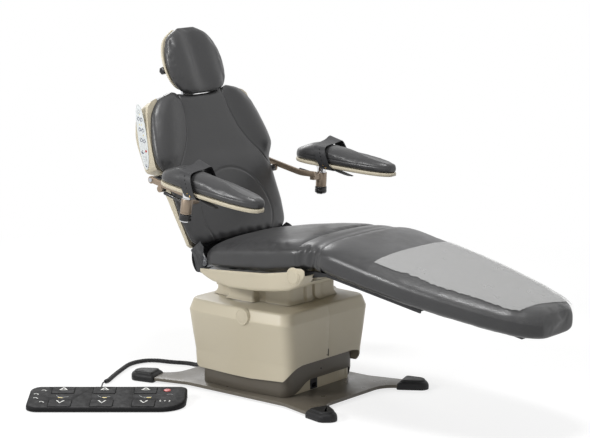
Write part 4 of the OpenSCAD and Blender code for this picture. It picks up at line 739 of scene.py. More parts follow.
def tub_side(side):
    """One side of the tub: a boat-shaped wall that rolls in under the seat."""
    rows = []
    xs = np.concatenate([np.linspace(-158, -120, 10), np.linspace(-114, 300, 46), np.linspace(305, 336, 8)])
    for x in xs:
        top = lookup(x, UNDER) - 0.6
        low = min(ease(x, TUB_EDGE, 9), top - 3)
        roll = min(13, (top - low) * 0.45)
        ring = [(x, side * TUB_WALL, mix(top, low + roll, k / 5)) for k in range(6)]
        ring += [(x, side * (TUB_WALL - roll * (1 - cos(a))), low + roll * (1 - sin(a)))
                 for a in [pi / 2 * k / 6 for k in range(1, 7)]]
        inner = mix(238, 0, smooth((x - 188) / 14)) if x < 312 else 200
        ring += [(x, side * mix(TUB_WALL - roll, inner, k / 8), low) for k in range(1, 9)]
        rows.append(ring)
    obj = grid("tub", rows)
    if sum(p.normal.y * side for p in obj.data.polygons if abs(p.center.y) > 0.2615) < 0:
        flip(obj)
    return soften(thicken(obj, 2.6), 0.7, 2, angle=50)


def tub_boss(side):
    """The round boss of the knee pivot and the small square step in front of it."""
    boss = lathe("boss", [(10, -3), (PIVOT_R + 4.5, -3), (PIVOT_R + 5, -1), (PIVOT_R + 3.6, 0.1), (10, 0.2)],
                 at=(KNEE_X, side * TUB_HALF, KNEE_Z), axis=(0, side, 0), n=72)
    y0, y1 = sorted((side * (TUB_HALF - 3), side * (TUB_HALF + 0.9)))
    step = slab("step", rounded([(268, 497), (268, 523), (322, 527), (334, 521), (337, 506), (332, 494)],
                                [3, 5, 4, 6, 6, 4], 5), y0, y1, bevel=0.9)
    return [boss, step]


tub = [tub_side(1), tub_side(-1)] + tub_boss(1) + tub_boss(-1)
finish_piece(join("seat_tub_moulding", *tub), "seat", beige, "seat_tub")
knees = [lathe("knee", [(8, -1), (28, -1), (28.8, 0.4), (28.6, 2.2), (27.4, 3.4), (25.8, 3.5), (24.9, 2.7),
                        (24.1, 3.5), (22.8, 4.6), (12, 4.95), (0.4, 5)],
               at=(KNEE_X, side * TUB_HALF, KNEE_Z), axis=(0, side, 0), n=72) for side in (1, -1)]
finish_piece(join("knee_pivot_caps", *knees), "seat", beige, "pivot_caps")


def cushion(name, point, nv, ns, inset=0.0, **look):
    """A closed cushion from point(v, s, top), with v from 0 to 1 along it and s from -1 to 1 across."""
    vs = [inset + (1 - 2 * inset) * (1 - cos(pi * i / nv)) / 2 for i in range(nv + 1)]
    ss = [sin(pi * i / ns - pi / 2) for i in range(ns + 1)]
    verts = [p for v in vs for p in [point(v, s, True, **look) for s in ss]
             + [point(v, s, False, **look) for s in ss[-2:0:-1]]]
    n = 2 * ns
    faces = [(i * n + j, i * n + (j + 1) % n, (i + 1) * n + (j + 1) % n, (i + 1) * n + j)
             for i in range(nv) for j in range(n)]
    for z in (0, nv * n):
        for j in range(ns):
            ring = [z + j, z + j + 1, z + (n - j - 1) % n, z + (n - j) % n]
            faces.append(tuple(dict.fromkeys(ring)))
    return shade(new_mesh(name, verts, faces), 180)


CLOTH = {"quality": 4, "mass": 0.3, "tension_stiffness": 30, "compression_stiffness": 30,
         "shear_stiffness": 12, "bending_stiffness": 0.6, "use_pressure": True,
         "uniform_pressure_force": 4.0}
CLOTH_FRAMES = 20


def points_of(mesh):
    flat = np.empty(len(mesh.vertices) * 3)
    mesh.vertices.foreach_get("co", flat)
    return flat.reshape(-1, 3)


def puff(obj, voxel=5.5, cap=9.0):
    """Cloth pass on a cushion: remeshed, blown up a little with its movement capped, then smoothed."""
    modified(obj, "REMESH", mode="VOXEL", voxel_size=voxel * MM)
    start = points_of(obj.data)
    cloth = obj.modifiers.new("cloth", "CLOTH")
    for key, value in CLOTH.items():
        setattr(cloth.settings, key, value)
    cloth.settings.effector_weights.gravity = 0
    cloth.collision_settings.use_collision = False
    cloth.point_cache.frame_start = 1
    cloth.point_cache.frame_end = CLOTH_FRAMES
    scene = bpy.context.scene
    for f in range(1, CLOTH_FRAMES + 1):
        scene.frame_set(f)
    graph = bpy.context.evaluated_depsgraph_get()
    move = points_of(obj.evaluated_get(graph).data) - start
    obj.modifiers.clear()
    scene.frame_set(1)
    size = np.linalg.norm(move, axis=1, keepdims=True)
    limit = cap * MM
    move *= np.where(size > limit, limit / np.maximum(size, 1e-9), 1)
    obj.data.vertices.foreach_set("co", (start + move).ravel())
    obj.data.update()
    return subdivide(modified(obj, "SMOOTH", factor=0.5, iterations=4))


def pad_out(obj, body, node):
    """Finishes a cushion in leather."""
    finish_piece(obj, body, leather, node)


def seat_point(v, s, top):
    x = mix(SEAT_REAR, SEAT_FRONT, v)
    e = edge(s, 3.4 if top else 7) * edge(2 * v - 1, 9 if v > 0.5 else 22)
    high = ease(x, SEAT_EDGE, 12) - SEAT_INSET + CROWN * (1 - s * s)
    low = lookup(x, UNDER) + 0.2
    half = (SEAT_HALF - SEAT_INSET) * ease(x, SEAT_WIDTH, 12)
    return x, half * s * edge(1.98 * (v - 0.5), 14), mix(mix(low, high, WAIST), high if top else low, e)


seat = puff(cushion("seat_cushion_cover", seat_point, 60, 56, 0.002), cap=6)


def seat_folds(p):
    """Slack gathers towards the knee and the hip, fading over the cushion's middle."""
    x, y, z = p
    side = smooth((abs(y) - 150) / 110)
    near_knee = smooth((x - 255) / 60)
    near_hip = smooth((-95 - x) / 50)
    wave = sin(x * 0.21 + 1.3 * sin(z * 0.04)) * 2.2 * near_knee * side
    wave += sin((x * 0.7 + z) * 0.16) * 2.6 * near_hip * side
    slack = ripple(x * 0.012, y * 0.02, z * 0.03) * 1.6 * side
    grow = copysign(max(0, wave * 0.5 + slack), y) if abs(y) > 1 else 0
    return x, y - grow, z - 0.8 * near_knee * sin(y * 0.035) ** 2


pad_out(shape(seat, seat_folds), "seat", "seat_cushion")

# Leg rest
LEG_TOP = [(372, 621), (400, 627), (440, 626), (480, 620), (1200, 468), (1230, 462)]
LEG_UNDER = [(372, 516), (1200, 370), (1230, 365)]
LEG_WIDTH = [(372, 0.97), (450, 1), (600, 1), (750, 0.982), (890, 0.91), (1040, 0.786), (1140, 0.65),
             (1190, 0.53), (1228, 0.36)]
LEG_REAR, LEG_END, LEG_HALF = 372, 1228, 280
COVER_REAR, FILM_T, FILM_ROWS, FILM_COLS = 620, 1.2, 150, 160


def leg_point(v, s, top, grow=0.0, shrink=0.0):
    x = mix(LEG_REAR, LEG_END, v)
    e = edge(s, 3.8) * edge(2 * v - 1, 12)
    high = ease(x, LEG_TOP, 12) - shrink + CROWN * (1 - s * s)
    low = lookup(x, LEG_UNDER) + 0.2
    half = (LEG_HALF - shrink) * ease(x, LEG_WIDTH, 14) * edge(1.98 * (v - 0.5), 18)
    return (x + (grow if v > 0.5 else 0), (half + grow) * s,
            mix(mix(low, high, WAIST), high + grow if top else low, e))


leg = puff(cushion("leg_cushion_cover", leg_point, 84, 52, 0.001, shrink=2.5), voxel=6, cap=4)


def leg_folds(p):
    x, y, z = p
    side = smooth((abs(y) - 150) / 110)
    near_knee = smooth((452 - x) / 60)
    wave = sin(x * 0.19 + 1.1 * sin(z * 0.05)) * 2.4 * near_knee * side
    slack = ripple(x * 0.009, y * 0.02, z * 0.03) * 1.2 * side * smooth((600 - x) / 200)
    return x, y - copysign(max(0, wave * 0.5 + slack), y), z - 0.7 * near_knee * sin(y * 0.03) ** 2


pad_out(shape(leg, leg_folds), "legrest", "leg_cushion")


def in_painted_reflection(x, y):
    """True where a painted reflection lies on the clear cover's flat top, with wavy edges, and shows pale."""
    half = LEG_HALF * ease(x, LEG_WIDTH, 14)
    wave = 11 * ripple(x * 0.011, 0.4, 2.0) + 6 * ripple(x * 0.05, 3.1, 0)
    end = 1172 + 26 * smooth((y + 60) / 160) - 0.0006 * (y - 20) ** 2
    return -0.80 * half + wave < y < 0.985 * half and x < end


def foot_film():
    """The clear cover over the foot end: glossy round the rim, crinkled where it lies flat, with a painted
    reflection that shows pale over the flat top.
    """
    v0 = (COVER_REAR - LEG_REAR) / (LEG_END - LEG_REAR)
    rows = []
    for i in range(FILM_ROWS + 1):
        v = mix(v0, 0.998, sin(pi / 2 * i / FILM_ROWS))
        row = []
        for k in range(FILM_COLS + 1):
            s = 0.995 * sin(pi * k / FILM_COLS - pi / 2)
            x, y, z = leg_point(v, s, True, 1.7)
            near = abs(y + 0.72 * LEG_HALF * ease(x, LEG_WIDTH, 14))
            lift = 1.4 * (0.5 + 0.5 * ripple(x * 0.016, y * 0.02, 1.0)) * smooth((0.9 - abs(s)) * 8)
            lift += 1.6 * abs(ripple(x * 0.06, y * 0.09, 5.0)) * exp(-(near / 26) ** 2)
            row.append((x, y, z + lift))
        rows.append(row)
    obj = thicken(grid("film", rows), -FILM_T)
    for look in (film, painted_reflection):
        obj.data.materials.append(look)
    # Faces inside the zone take the painted reflection.
    for p in obj.data.polygons:
        p.material_index = int(in_painted_reflection(p.center.x / MM, p.center.y / MM))
    return shade(obj, 60)


finish_piece(foot_film(), "legrest", None, "foot_cover", slot="clear_cover")


KNEE_REAR, KNEE_FRONT = 298, 412


def knee_gather():
    """The slack cover between the seat and the leg rest, drawn into folds across the knee."""
    rows = []
    for x in np.linspace(KNEE_REAR, KNEE_FRONT, 77):
        t = (x - KNEE_REAR) / (KNEE_FRONT - KNEE_REAR)
        neck = sin(pi * t)
        high = mix(lookup(x, SEAT_EDGE), ease(x, LEG_TOP, 12), smooth(t)) - 6 + 7.5 * neck
        low = mix(lookup(x, UNDER), lookup(x, LEG_UNDER), smooth(t)) + 6
        mid = mix(low, high, WAIST)
        half = mix(SEAT_HALF * 0.985, LEG_HALF * 0.965, t) - 4 - 7 * neck
        row = []
        for k, a in enumerate(circle(112)):
            s = cos(a)
            up = k < 56
            e = edge(s, 3.7 if up else 7)
            z = mix(mid, high + CROWN * (1 - s * s) if up else low, e)
            side = smooth((abs(s) - 0.86) / 0.12)
            pleat = sin(t * pi * 5.2 + 1.5 * sin(z * 0.045 + 2.0) * side + 0.5 * sin(s * 5))
            depth = (7 * side + 0.4) * neck ** 0.6
            row.append((x, half * s - copysign(depth * (1 - pleat), s) * side * 0.5,
                        z - depth * (1 - pleat) * 0.5 * (1 - side) * (1 if up else -1)))
        rows.append(row)
    obj = subdivide(grid("knee_gather_cover", rows, closed=True))
    obj.data.materials.append(leather)
    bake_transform(obj)


knee_gather()

# Back, in its own frame: X out of the front face, Z up along the back
LEAN = 22.45
CREASE_X, BACK_Z = -164, 542
ON_BACK = shift(CREASE_X, 0, BACK_Z) @ spin(-LEAN, "Y")
BACK_LEN, BACK_HALF, BACK_T, BACK_FOOT = 578, 330, 48, 6
BACK_WIDTH = [(0, 0.795), (40, 0.845), (120, 0.888), (290, 0.9), (318, 0.962), (345, 1), (387, 0.99),
              (420, 0.97), (474, 0.925), (528, 0.864), (560, 0.79), (587, 0.70), (604, 0.5)]
SEAM_LINE = [(255, 272), (280, 255), (306, 236), (371, 180), (427, 146), (501, 123), (620, 118)]


def back_seam(h):
    return ease(h, SEAM_LINE, 20)


def back_front(h, y, half):
    fade = smooth((h - 300) / 60)
    d = abs(y) - back_seam(h)
    return (12 * (1 - (y / half) ** 2) * (1 - 0.4 * fade)
            + fade * (19 * smooth(d / max(12, half - back_seam(h)) * 1.5) - 1.5 * exp(-(d / 9) ** 2)))


def back_point(v, s, front, shrink=0.0):
    top = BACK_LEN + 5 + 22 * s * s - shrink
    h = mix(BACK_FOOT, top, v)
    half = (BACK_HALF - shrink) * ease(mix(BACK_FOOT, BACK_LEN + 26, v), BACK_WIDTH, 9)
    y = half * s * edge(1.97 * (v - 0.5), 16) * (1 if front else 0.955)
    e = edge(s, 4.2) * edge(2 * v - 1, 16 if v > 0.5 else 8)
    mid = -BACK_T / 2
    face = back_front(h, y, half) - shrink
    return mix(mid, face if front else -BACK_T, e), y, h


back = puff(cushion("back_cushion_cover", back_point, 80, 72, 0.002, shrink=2.5), cap=4)


def groove(d, depth, width):
    return depth * exp(-(d / width) ** 2)


def back_seams(p):
    """The bolster seams, the faint lumbar arch and a little slack, pressed into the front face."""
    n, y, h = p
    front = smooth((n + 20) / 12)
    dip = 0.0
    if h > 262:
        slope = (back_seam(h + 4) - back_seam(h - 4)) / 8
        d = (abs(y) - back_seam(h)) / sqrt(1 + slope * slope)
        dip += groove(d, 3.4, 2.6) * smooth((h - 262) / 30)
    arch = hypot(y / 192, (h - 90) / 185) if h > 90 else (abs(y) + 42 * ((90 - h) / 90) ** 1.5) / 192
    dip += groove((arch - 1) * 185, 2.6, 4.5) * smooth((h - 2) / 20)
    slack = ripple(n * 0.01, y * 0.009, h * 0.007 + 4.0) * 1.4
    low = sin(y * 0.12 + 2 * sin(h * 0.03)) * 1.5 * smooth((46 - h) / 40)
    return n - front * (dip - slack - low), y, h


pad_out(place(shape(back, back_seams), ON_BACK), "back", "back_cushion")

SHELL_DEPTH = [(12, 0.3), (18, 0.36), (62, 0.38), (137, 0.47), (250, 0.7), (312, 0.9), (326, 1), (520, 1),
               (560, 0.8), (576, 0.52), (579, 0.4), (580, 0.3)]
SHELL_WIDTH = [(12, 0.72), (18, 0.76), (137, 0.795), (306, 0.81), (322, 0.92), (335, 0.94), (430, 0.942),
               (480, 0.93), (530, 0.905), (556, 0.87), (572, 0.8), (580, 0.7)]
SHELL_FRONT = [(0, 50), (312, 50), (330, 44), (426, 32), (516, 18), (560, 10), (580, 8)]
SHELL_SIDE = [(12, 110), (312, 110), (330, 112), (427, 113), (470, 107), (516, 94), (550, 72), (572, 46),
              (580, 30)]


def shell_ring(h):
    w = BACK_HALF * ease(h, SHELL_WIDTH, 3.5)
    f = ease(h, SHELL_FRONT, 10)
    rear = max(BACK_T + 2 + 60 * ease(h, SHELL_DEPTH, 4), f + 2)
    side = max(f + 2, min(rear, ease(h, SHELL_SIDE, 8)))
    r = min(16, (side - f) * 0.45)
    crown = 5 * smooth((rear - 60) / 40)
    lip = min(w - 234, 60)
    line = [(-f - 1, -w + lip * k) for k in (1, 0.5, 0.12, 0.03)]
    line += [(-f - 0.6, -w), (-f - 3, -w), (-mix(f, side - r, 0.5), -w)]
    line += corner((-f, -w), (-side, -w), (-side, 0), r, 8)
    line += [(-mix(rear, side, smooth((abs(y) - 120) / (w - r - 128))) - crown * (1 - (y / w) ** 2), y)
             for y in np.linspace(-w + r + 8, w - r - 8, 27)]
    line += corner((-side, 0), (-side, w), (-f, w), r, 8) + [(-mix(f, side - r, 0.5), w)]
    line += [(-f - 3, w), (-f - 0.6, w)] + [(-f - 1, w - lip * k) for k in (0.03, 0.12, 0.5, 1)]
    far = 1 - 0.06 * smooth((h - 380) / 120)
    return [(x, y * (far if y > 0 else 1), h) for x, y in line]


heights = sorted(set(list(np.linspace(12, 300, 25)) + list(np.linspace(302, 345, 24)) +
                     list(np.linspace(350, 505, 14)) + list(np.linspace(508, 580, 30))))
shell = grid("back_shell_moulding", [shell_ring(float(h)) for h in heights])
if sum(p.normal.x for p in shell.data.polygons if p.center.x < -0.09) > 0:
    flip(shell)
shell = soften(thicken(shell, 3), 0.8, 2, angle=55)
finish_piece(place(shell, ON_BACK), "back", beige, "back_shell")

# Touch panel on the shell's right side
TOUCH = ON_BACK @ shift(-62, 0, 455) @ spin(12.5, "Y")
TOUCH_Y = -312.2


def leaf(half_w, half_l, n=40):
    left = [(-half_w * edge(z / half_l, 2.3) ** 1.15, z) for z in
            [half_l * sin(pi * k / n - pi / 2) for k in range(1, n)]]
    return [(0, -half_l)] + left + [(0, half_l)] + [(-x, z) for x, z in left[::-1]]


panel = slab("touch_membrane", leaf(21.6, 122.6), TOUCH_Y, TOUCH_Y + 1.6, bevel=0.4)
bezel = [(x, TOUCH_Y - 0.1, z) for x, z in leaf(21.6, 122.6)]
rim = tube("touch_rim", bezel + bezel[:1], 0.55, sides=8)
finish_piece(place(panel, TOUCH), "back", pale_grey, "touch_panel")
finish_piece(place(rim, TOUCH), "back", pale_grey)


def printed(points):
    """A flat mark in X and Z, raised a hair from the membrane."""
    return slab("mark", points, TOUCH_Y - 0.22, TOUCH_Y + 0.1, bevel=0)


def ring_mark(cx, cz, r, w):
    """A small drawn ring, as a thin round tube half sunk in the membrane."""
    pts = [(cx + r * cos(a), TOUCH_Y - 0.05, cz + r * sin(a)) for a in circle(24) + [2 * pi]]
    return tube("ring", pts, w, sides=6, caps=False)


def crescent(cx, cz, r, turn=0.0):
    outer = [(r * cos(a), r * sin(a)) for a in np.linspace(0.9, 2 * pi - 0.9, 20)]
    inner = [(r * 0.62 * cos(a) + r * 0.38, r * 0.72 * sin(a)) for a in
             np.linspace(2 * pi - 1.2, 1.2, 16)]
    c, s = cos(turn), sin(turn)
    return [(cx + c * x - s * z, cz + s * x + c * z) for x, z in outer + inner]


navy = []
for z in (66, 26, -14):
    for x, up in ((-7, 2.6), (7, -2.6)):
        low = z + up + 6.4
        navy += [ring_mark(x, z + up, 5.4, 0.95), printed([(x - 2.6, low), (x + 2.6, low), (x, low + 3.2)])]
navy += [printed(crescent(-8, -56, 6.2, 0.5)), printed(crescent(1, -107, 5.2, 0.6))]
red = [printed([(9, -60.5), (14, -54), (9, -47.5), (4, -54)])]
yellow = [printed([(x - 2.4, z - 2), (x + 2.4, z - 2), (x, z + 2.4)])
          for x, z in ((2, 84), (5, 45), (8, 6), (-6, 47))]
faint = [ring_mark(0, 97, 4.4, 0.5), ring_mark(-3, 90, 3, 0.4)]
faint += [box("bar", x, x + 7, z, z + 1, TOUCH_Y - 0.2, TOUCH_Y + 0.1, 0)
          for x in (-9, 2) for z in (-72, -78, -84, -90)]
for name, parts, look in (("touch_marks_dark", navy, navy_ink), ("touch_mark_red", red, red_ink),
                          ("touch_marks_yellow", yellow, yellow_ink),
                          ("touch_marks_faint", faint, case_grey)):
    finish_piece(place(join(name, *parts), TOUCH), "back", look)


GATHER_HALF, GATHER_STEPS, TAIL_FROM = 248, 96, 205


def hip_gather():
    """The slack cover behind the hip, from the back's foot to the seat's rear, loose at each side."""
    section = [(-208, 540), (-215, 512), (-210, 486), (-194, 462), (-172, 452), (-152, 464)]
    rows = []
    for k in range(GATHER_STEPS + 1):
        y = mix(-GATHER_HALF, GATHER_HALF, k / GATHER_STEPS)
        tail = smooth((abs(y) - TAIL_FROM) / (GATHER_HALF - TAIL_FROM))
        line = spline(section, 8)
        row = []
        for i, q in enumerate(line):
            t = i / (len(line) - 1)
            hold = sin(pi * t)
            wave = sin(y * 0.085 + 1.7 * sin(t * 5)) * 4.5 * hold
            wave += sin(y * 0.21 + t * 4) * 1.8 * hold
            row.append((q[0] - wave * 0.6, y, q[1] + wave * 0.4 - 14 * tail * hold ** 2))
        rows.append(row)
    return thicken(grid("hip_gather_cover", rows), 1.6)


def hip_gusset(side):
    """The gathered corner beside the hinge: folds from the back's foot down to a loose tail."""
    rows = []
    for i in range(41):
        t = i / 40
        a = Vector((mix(-168, -216, t), mix(566, 526, t)))
        b = Vector((mix(-143, -157, t), mix(548, 446, t)))
        row = []
        for k in range(33):
            u = k / 32
            hold = sin(pi * u)
            q = a.lerp(b, u)
            fold = sin(t * 13 + 2.2 * u) * 5.5 * hold ** 0.7 * (0.4 + 0.6 * t)
            crumple = ripple(t * 3, u * 3, side) * 5 * hold
            drop = 26 * smooth((t - 0.72) / 0.28) * exp(-((u - 0.62) / 0.2) ** 2)
            row.append((q.x + 5 * hold * t, side * (mix(250, 259, u) + 3 * hold + fold * 0.6 + crumple * 0.5),
                        q.y - drop + fold * 0.5))
        rows.append(row)
    return thicken(grid("gusset", rows), 1.4)


def cloth_blend(name, obj):
    obj = shade(subdivide(obj), 60)
    obj.name = name
    obj.data.materials.append(gather_cloth)
    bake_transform(obj)


cloth_blend("hip_gather_cover", hip_gather())
cloth_blend("hip_gusset_left", hip_gusset(1))
cloth_blend("hip_gusset_right", hip_gusset(-1))

# Head rest, in the frame of the back
HEAD_FOOT, HEAD_LEN, HEAD_HALF, HEAD_FRONT, HEAD_REAR = 577, 262, 155, 33, 11
HEAD_WIDTH = [(0, 0.4), (12, 0.7), (26, 0.82), (48, 0.92), (72, 0.97), (105, 1), (130, 0.995), (160, 0.96),
              (192, 0.885), (218, 0.78), (234, 0.65), (247, 0.49), (262, 0.28)]


def head_point(v, s, front, shrink=0.0):
    u = v * HEAD_LEN
    half = (HEAD_HALF - shrink) * ease(u, HEAD_WIDTH, 7)
    y = half * s
    e = edge(s, 3.4) * edge(2 * v - 1, 4.4 if v > 0.5 else 6)
    mid = (HEAD_FRONT - HEAD_REAR) / 2
    face = HEAD_FRONT - 10 * (1 - smooth(abs(y) / HEAD_HALF * 1.5)) - shrink
    face -= 3.6 * cos(2 * pi * y / 124) * smooth((140 - abs(y)) / 30) * smooth(v * 5) * smooth((1 - v) * 4)
    return mix(mid, face if front else -HEAD_REAR, e), y, HEAD_FOOT + u


head = puff(cushion("head_cushion_cover", head_point, 56, 52, 0.005, shrink=1.5), voxel=4, cap=3)


def head_slack(p):
    n, y, h = p
    slack = ripple(n * 0.02, y * 0.018, h * 0.016) * 0.9
    rim = smooth((abs(y) - 118) / 25) * sin(h * 0.16) * 0.5
    return n + slack, 0.985 * y - copysign(max(0, rim), y) + 9, h - 5 * smooth((HEAD_FOOT + 80 - h) / 80)


pad_out(place(shape(head, head_slack), ON_BACK), "head", "head_cushion")


def dish_outline(k):
    """The cushion's outline scaled by k, with its two ends drawn to a point."""
    pts = []
    for a in circle(72):
        v = 0.5 + 0.5 * sin(a) * 0.985
        half = HEAD_HALF * ease(v * HEAD_LEN, HEAD_WIDTH, 9) if abs(cos(a)) > 0.02 else 0
        pts.append((k * half * copysign(1, cos(a)), HEAD_FOOT + HEAD_LEN / 2 + (v - 0.5) * HEAD_LEN * k))
    return pts


PIN_X, PIN_Z = -40, 690
DISH_ROWS = ((-8, 0.935), (-12, 0.95), (-16, 0.935), (-19.5, 0.9), (-22.5, 0.84), (-24.4, 0.74), (-25.2, 0.6),
             (-25.5, 0.4))
dish = solid("head_dish", [[(n, y + 5, h + 6 * k) for y, h in dish_outline(k)] for n, k in DISH_ROWS], 50)
EAR = rounded([(-26, 676), (-26, 704), (-40, 699), (-48, 690), (-40, 681)], [2, 2, 6, 6, 6], 5)
bracket = [slab("ear", EAR, y, y + 8, bevel=1) for y in (31, -39)]
pin = lathe("head_pin", [(0.4, -120), (5, -120), (5, 39), (0.4, 39)], at=(PIN_X, 0, PIN_Z), axis=(0, 1, 0),
            n=24)
finish_piece(place(join("head_shell_moulding", dish, *bracket), ON_BACK), "head", beige, "head_shell")
finish_piece(place(pin, ON_BACK), "head", zinc)


def fluted(r, depth, count, sides=60):
    """A round outline with shallow flutes."""
    return [(r * (1 + depth * cos(count * a)) * cos(a), r * (1 + depth * cos(count * a)) * sin(a))
            for a in circle(sides)]


KNOB_ROWS = ((9, -107.6), (13.4, -108.6), (14, -110.4), (14, -125), (13.2, -127.4), (11.6, -129.2),
             (6, -130), (0.5, -130))
knob = [[(x + PIN_X, y, z + PIN_Z) for x, z in fluted(r, 0.06, 6)] for r, y in KNOB_ROWS]
finish_piece(place(solid("head_knob_grip", knob, 50), ON_BACK), "head_clamp", black_gloss, "head_knob")

# Arm boards, each in the frame of its post and drawn on the left, then mirrored for the right
POST = (-107, 390, 720)
BAR_Y, BAR_HALF, BAR_T = 328, 11, 5
LOCK_X, LOCK_Z = -293, 757
BOARD = [(-114, 0.22), (-108, 0.45), (-96, 0.66), (-76, 0.84), (-50, 0.95), (-20, 1), (90, 1), (170, 0.985),
         (230, 0.93), (272, 0.84), (304, 0.71), (326, 0.56), (340, 0.39), (347, 0.2)]
PAD_FOOT, BOARD_LEN, PAD_HALF, PAD_TOP, TRAY_LOW, TRAY_T = -114, 461, 66, 146, 65, 14
PAD_INSET = 1.2
SIDES = {"left": (1, 3.0), "right": (-1, 8.0)}
MIRROR = {"left": Matrix.Identity(4), "right": Matrix.Scale(-1, 4, (0, 1, 0))}


def finish_arm(obj, side, body, look, *nodes):
    """Sets a piece on its arm: bar and lock pieces in the chair's frame, the others in the post's."""
    at = MIRROR[side]
    if body in ("board", "clamp"):
        at = at @ shift(*POST) @ spin(SIDES[side][1], "Y")
    return finish_piece(place(obj, at), f"{side}_{body}", look, *[f"{side}_arm_{node}" for node in nodes])


def pad_point(v, s, top, near):
    """near is the sign of s on the side of the photograph's camera."""
    u = mix(PAD_FOOT, PAD_FOOT + BOARD_LEN, v * 0.99 + 0.005)
    end = 2 * v * 0.99 - 0.98
    if top:
        e = edge(s, 2.5) * edge(end, 4.4 if v > 0.5 else 6)
    else:
        e = edge(s, 5) * edge(end, 9)
    low = TRAY_LOW + TRAY_T + 0.5
    q = near * s
    ridge = mix(-0.05, 0.66, smooth((u - 100) / 190))
    dish = (smooth((u + 10) / 90) * smooth((ridge - q) / 0.34) * smooth((1.0 + q) / 0.5)
            * smooth((356 - u) / 50))
    high = PAD_TOP - PAD_INSET - 24 * smooth((-u - 20) / 94) - 15 * smooth((u - 40) / 290)
    high -= 17 * dish + 11 * smooth((u - 90) / 120) * smooth((q - ridge) / 0.7)
    return (u, (PAD_HALF - PAD_INSET) * ease(u, BOARD, 9) * s,
            mix(mix(low, PAD_TOP, 0.2), high if top else low, e))


def arm_pad(side):
    near = -SIDES[side][0]
    pad = puff(cushion(side + "_arm_cushion", pad_point, 64, 36, near=near), voxel=4, cap=2.2)

    def creases(p):
        u, y, z = p
        welt = groove(z - 101, 0.9, 2.2) * smooth((abs(y) - PAD_HALF * ease(u, BOARD, 9) + 16) / 10)
        return (u, y - copysign(min(abs(y), welt), y),
                z + ripple(u * 0.014, y * 0.03, z * 0.02 + 3 * near) * 1.1)
    finish_arm(shape(pad, creases), side, "board", leather, "pad")


TRAY_ROWS = ((0, 9), (0.3, 5), (1.6, 2), (4, 0.4), (7, 0), (12.6, 0), (13.6, 0.5), (14, 1.4))


def arm_tray(side):
    us = [-114, *np.linspace(-112, -66, 14), *np.linspace(-60, 300, 40), *np.linspace(306, 347, 12)]
    half = [(float(u), 64 * max(0.1, ease(float(u), BOARD, 7))) for u in us]
    line = [(u, -y) for u, y in half] + [(u, y) for u, y in half[::-1]]
    rows = [[(116 + (u - 116) * (1 - k / 230), y * (1 - k / 64), TRAY_LOW + z) for u, y in line]
            for z, k in TRAY_ROWS]
    finish_arm(solid(side + "_arm_tray_moulding", rows, 50), side, "board", beige, "tray")
    rows = [[(u * 0.62 + 40, y * 0.62, z) for u, y in line] for z in (63.6, 65.2)]
    finish_arm(solid(side + "_arm_tray_plate", rows, 40), side, "board", zinc)


def strap_path(rear, near):
    """The strap's loop round the board: across and up, with a peak on the far side at its rear edge."""
    lift = 12 * rear + 3
    pts = [(0, 61.8), (-34, 59.4), (-56, 57.2), (-69, 61), (-75.4, 74), (-77.4, 97), (-76, 119),
           (-71, 134), (-61, 144.5), (-42, 149.4), (-14, 151 + 0.2 * lift), (14, 152 + 0.45 * lift),
           (36, 154 + 0.8 * lift), (50, 154 + lift), (56, 151 + 0.85 * lift), (60, 143 + 0.4 * lift),
           (64, 126), (67, 100), (68, 78), (66, 66), (58, 62.4), (34, 61.8), (0, 61.8)]
    return spline([(near * -1 * y, z, 0) for y, z in pts], 5)


STRAP_X, STRAP_W, STRAP_SLANT = 74, 54, 0.5
STUD = [(0.3, -2), (3.2, -1.6), (3.4, 0.6), (2.8, 1.6), (1.4, 2.1), (0.3, 2.2)]
RIVET = [(0.3, 4), (2.0, 4), (2.0, -1.6), (3.4, -2), (3.4, -4), (2.4, -5.2), (0.3, -5.6)]


def slanted(z, x=STRAP_X):
    """The place along the board at height z on the strap, which leans."""
    return x - STRAP_SLANT * (z - TRAY_LOW)


def arm_strap(side):
    near = -SIDES[side][0]
    rows = []
    for t in [k / 8 for k in range(9)]:
        x = STRAP_X + STRAP_W * (t - 0.5)
        rows.append([(slanted(q[1], x), q[0], q[1]) for q in strap_path(1 - t, near)])
    cutters = [lathe("hole", [(0.4, -9), (2.5, -9), (2.5, 9), (0.4, 9)], at=(slanted(z), near * 75.5, z),
                     axis=(0, 1, 0.02), n=18) for z in range(134, 56, -13)]
    band = soften(cut(thicken(grid("strap", rows), 1.9), *cutters), 0.35, 1, angle=60)
    line = spline([(STRAP_X + x, near * y, z) for x, y, z in
                   ((6, 30, 60.6), (34, 45, 59.4), (62, 54, 57.4), (92, 58, 53.6), (118, 60, 50.8))], 8)
    rows = []
    for i, q in enumerate(line):
        w = 17 * edge(i / (len(line) - 1), 5) + 1.5
        rows.append([(q[0] + 0.2 * w * k, q[1] - near * w * k * 0.9, q[2] - 1.2 * k)
                     for k in np.linspace(-1, 1, 7)])
    tail = soften(thicken(grid("tail", rows), 1.9), 0.3, 1, angle=60)
    finish_arm(join(side + "_arm_strap_band", band, tail), side, "board", leather_dark, "strap")
    studs = [lathe("stud", STUD, at=(slanted(z) + (70 - z) * 0.9, near * 74, z), axis=(0, near, 0), n=20)
             for z in (76, 67)]
    studs += [lathe("stud", RIVET, at=(STRAP_X + x, near * y, 64), n=20) for x, y in ((-38, 52), (64, 30))]
    finish_arm(join(side + "_arm_studs", *studs), side, "board", brass)


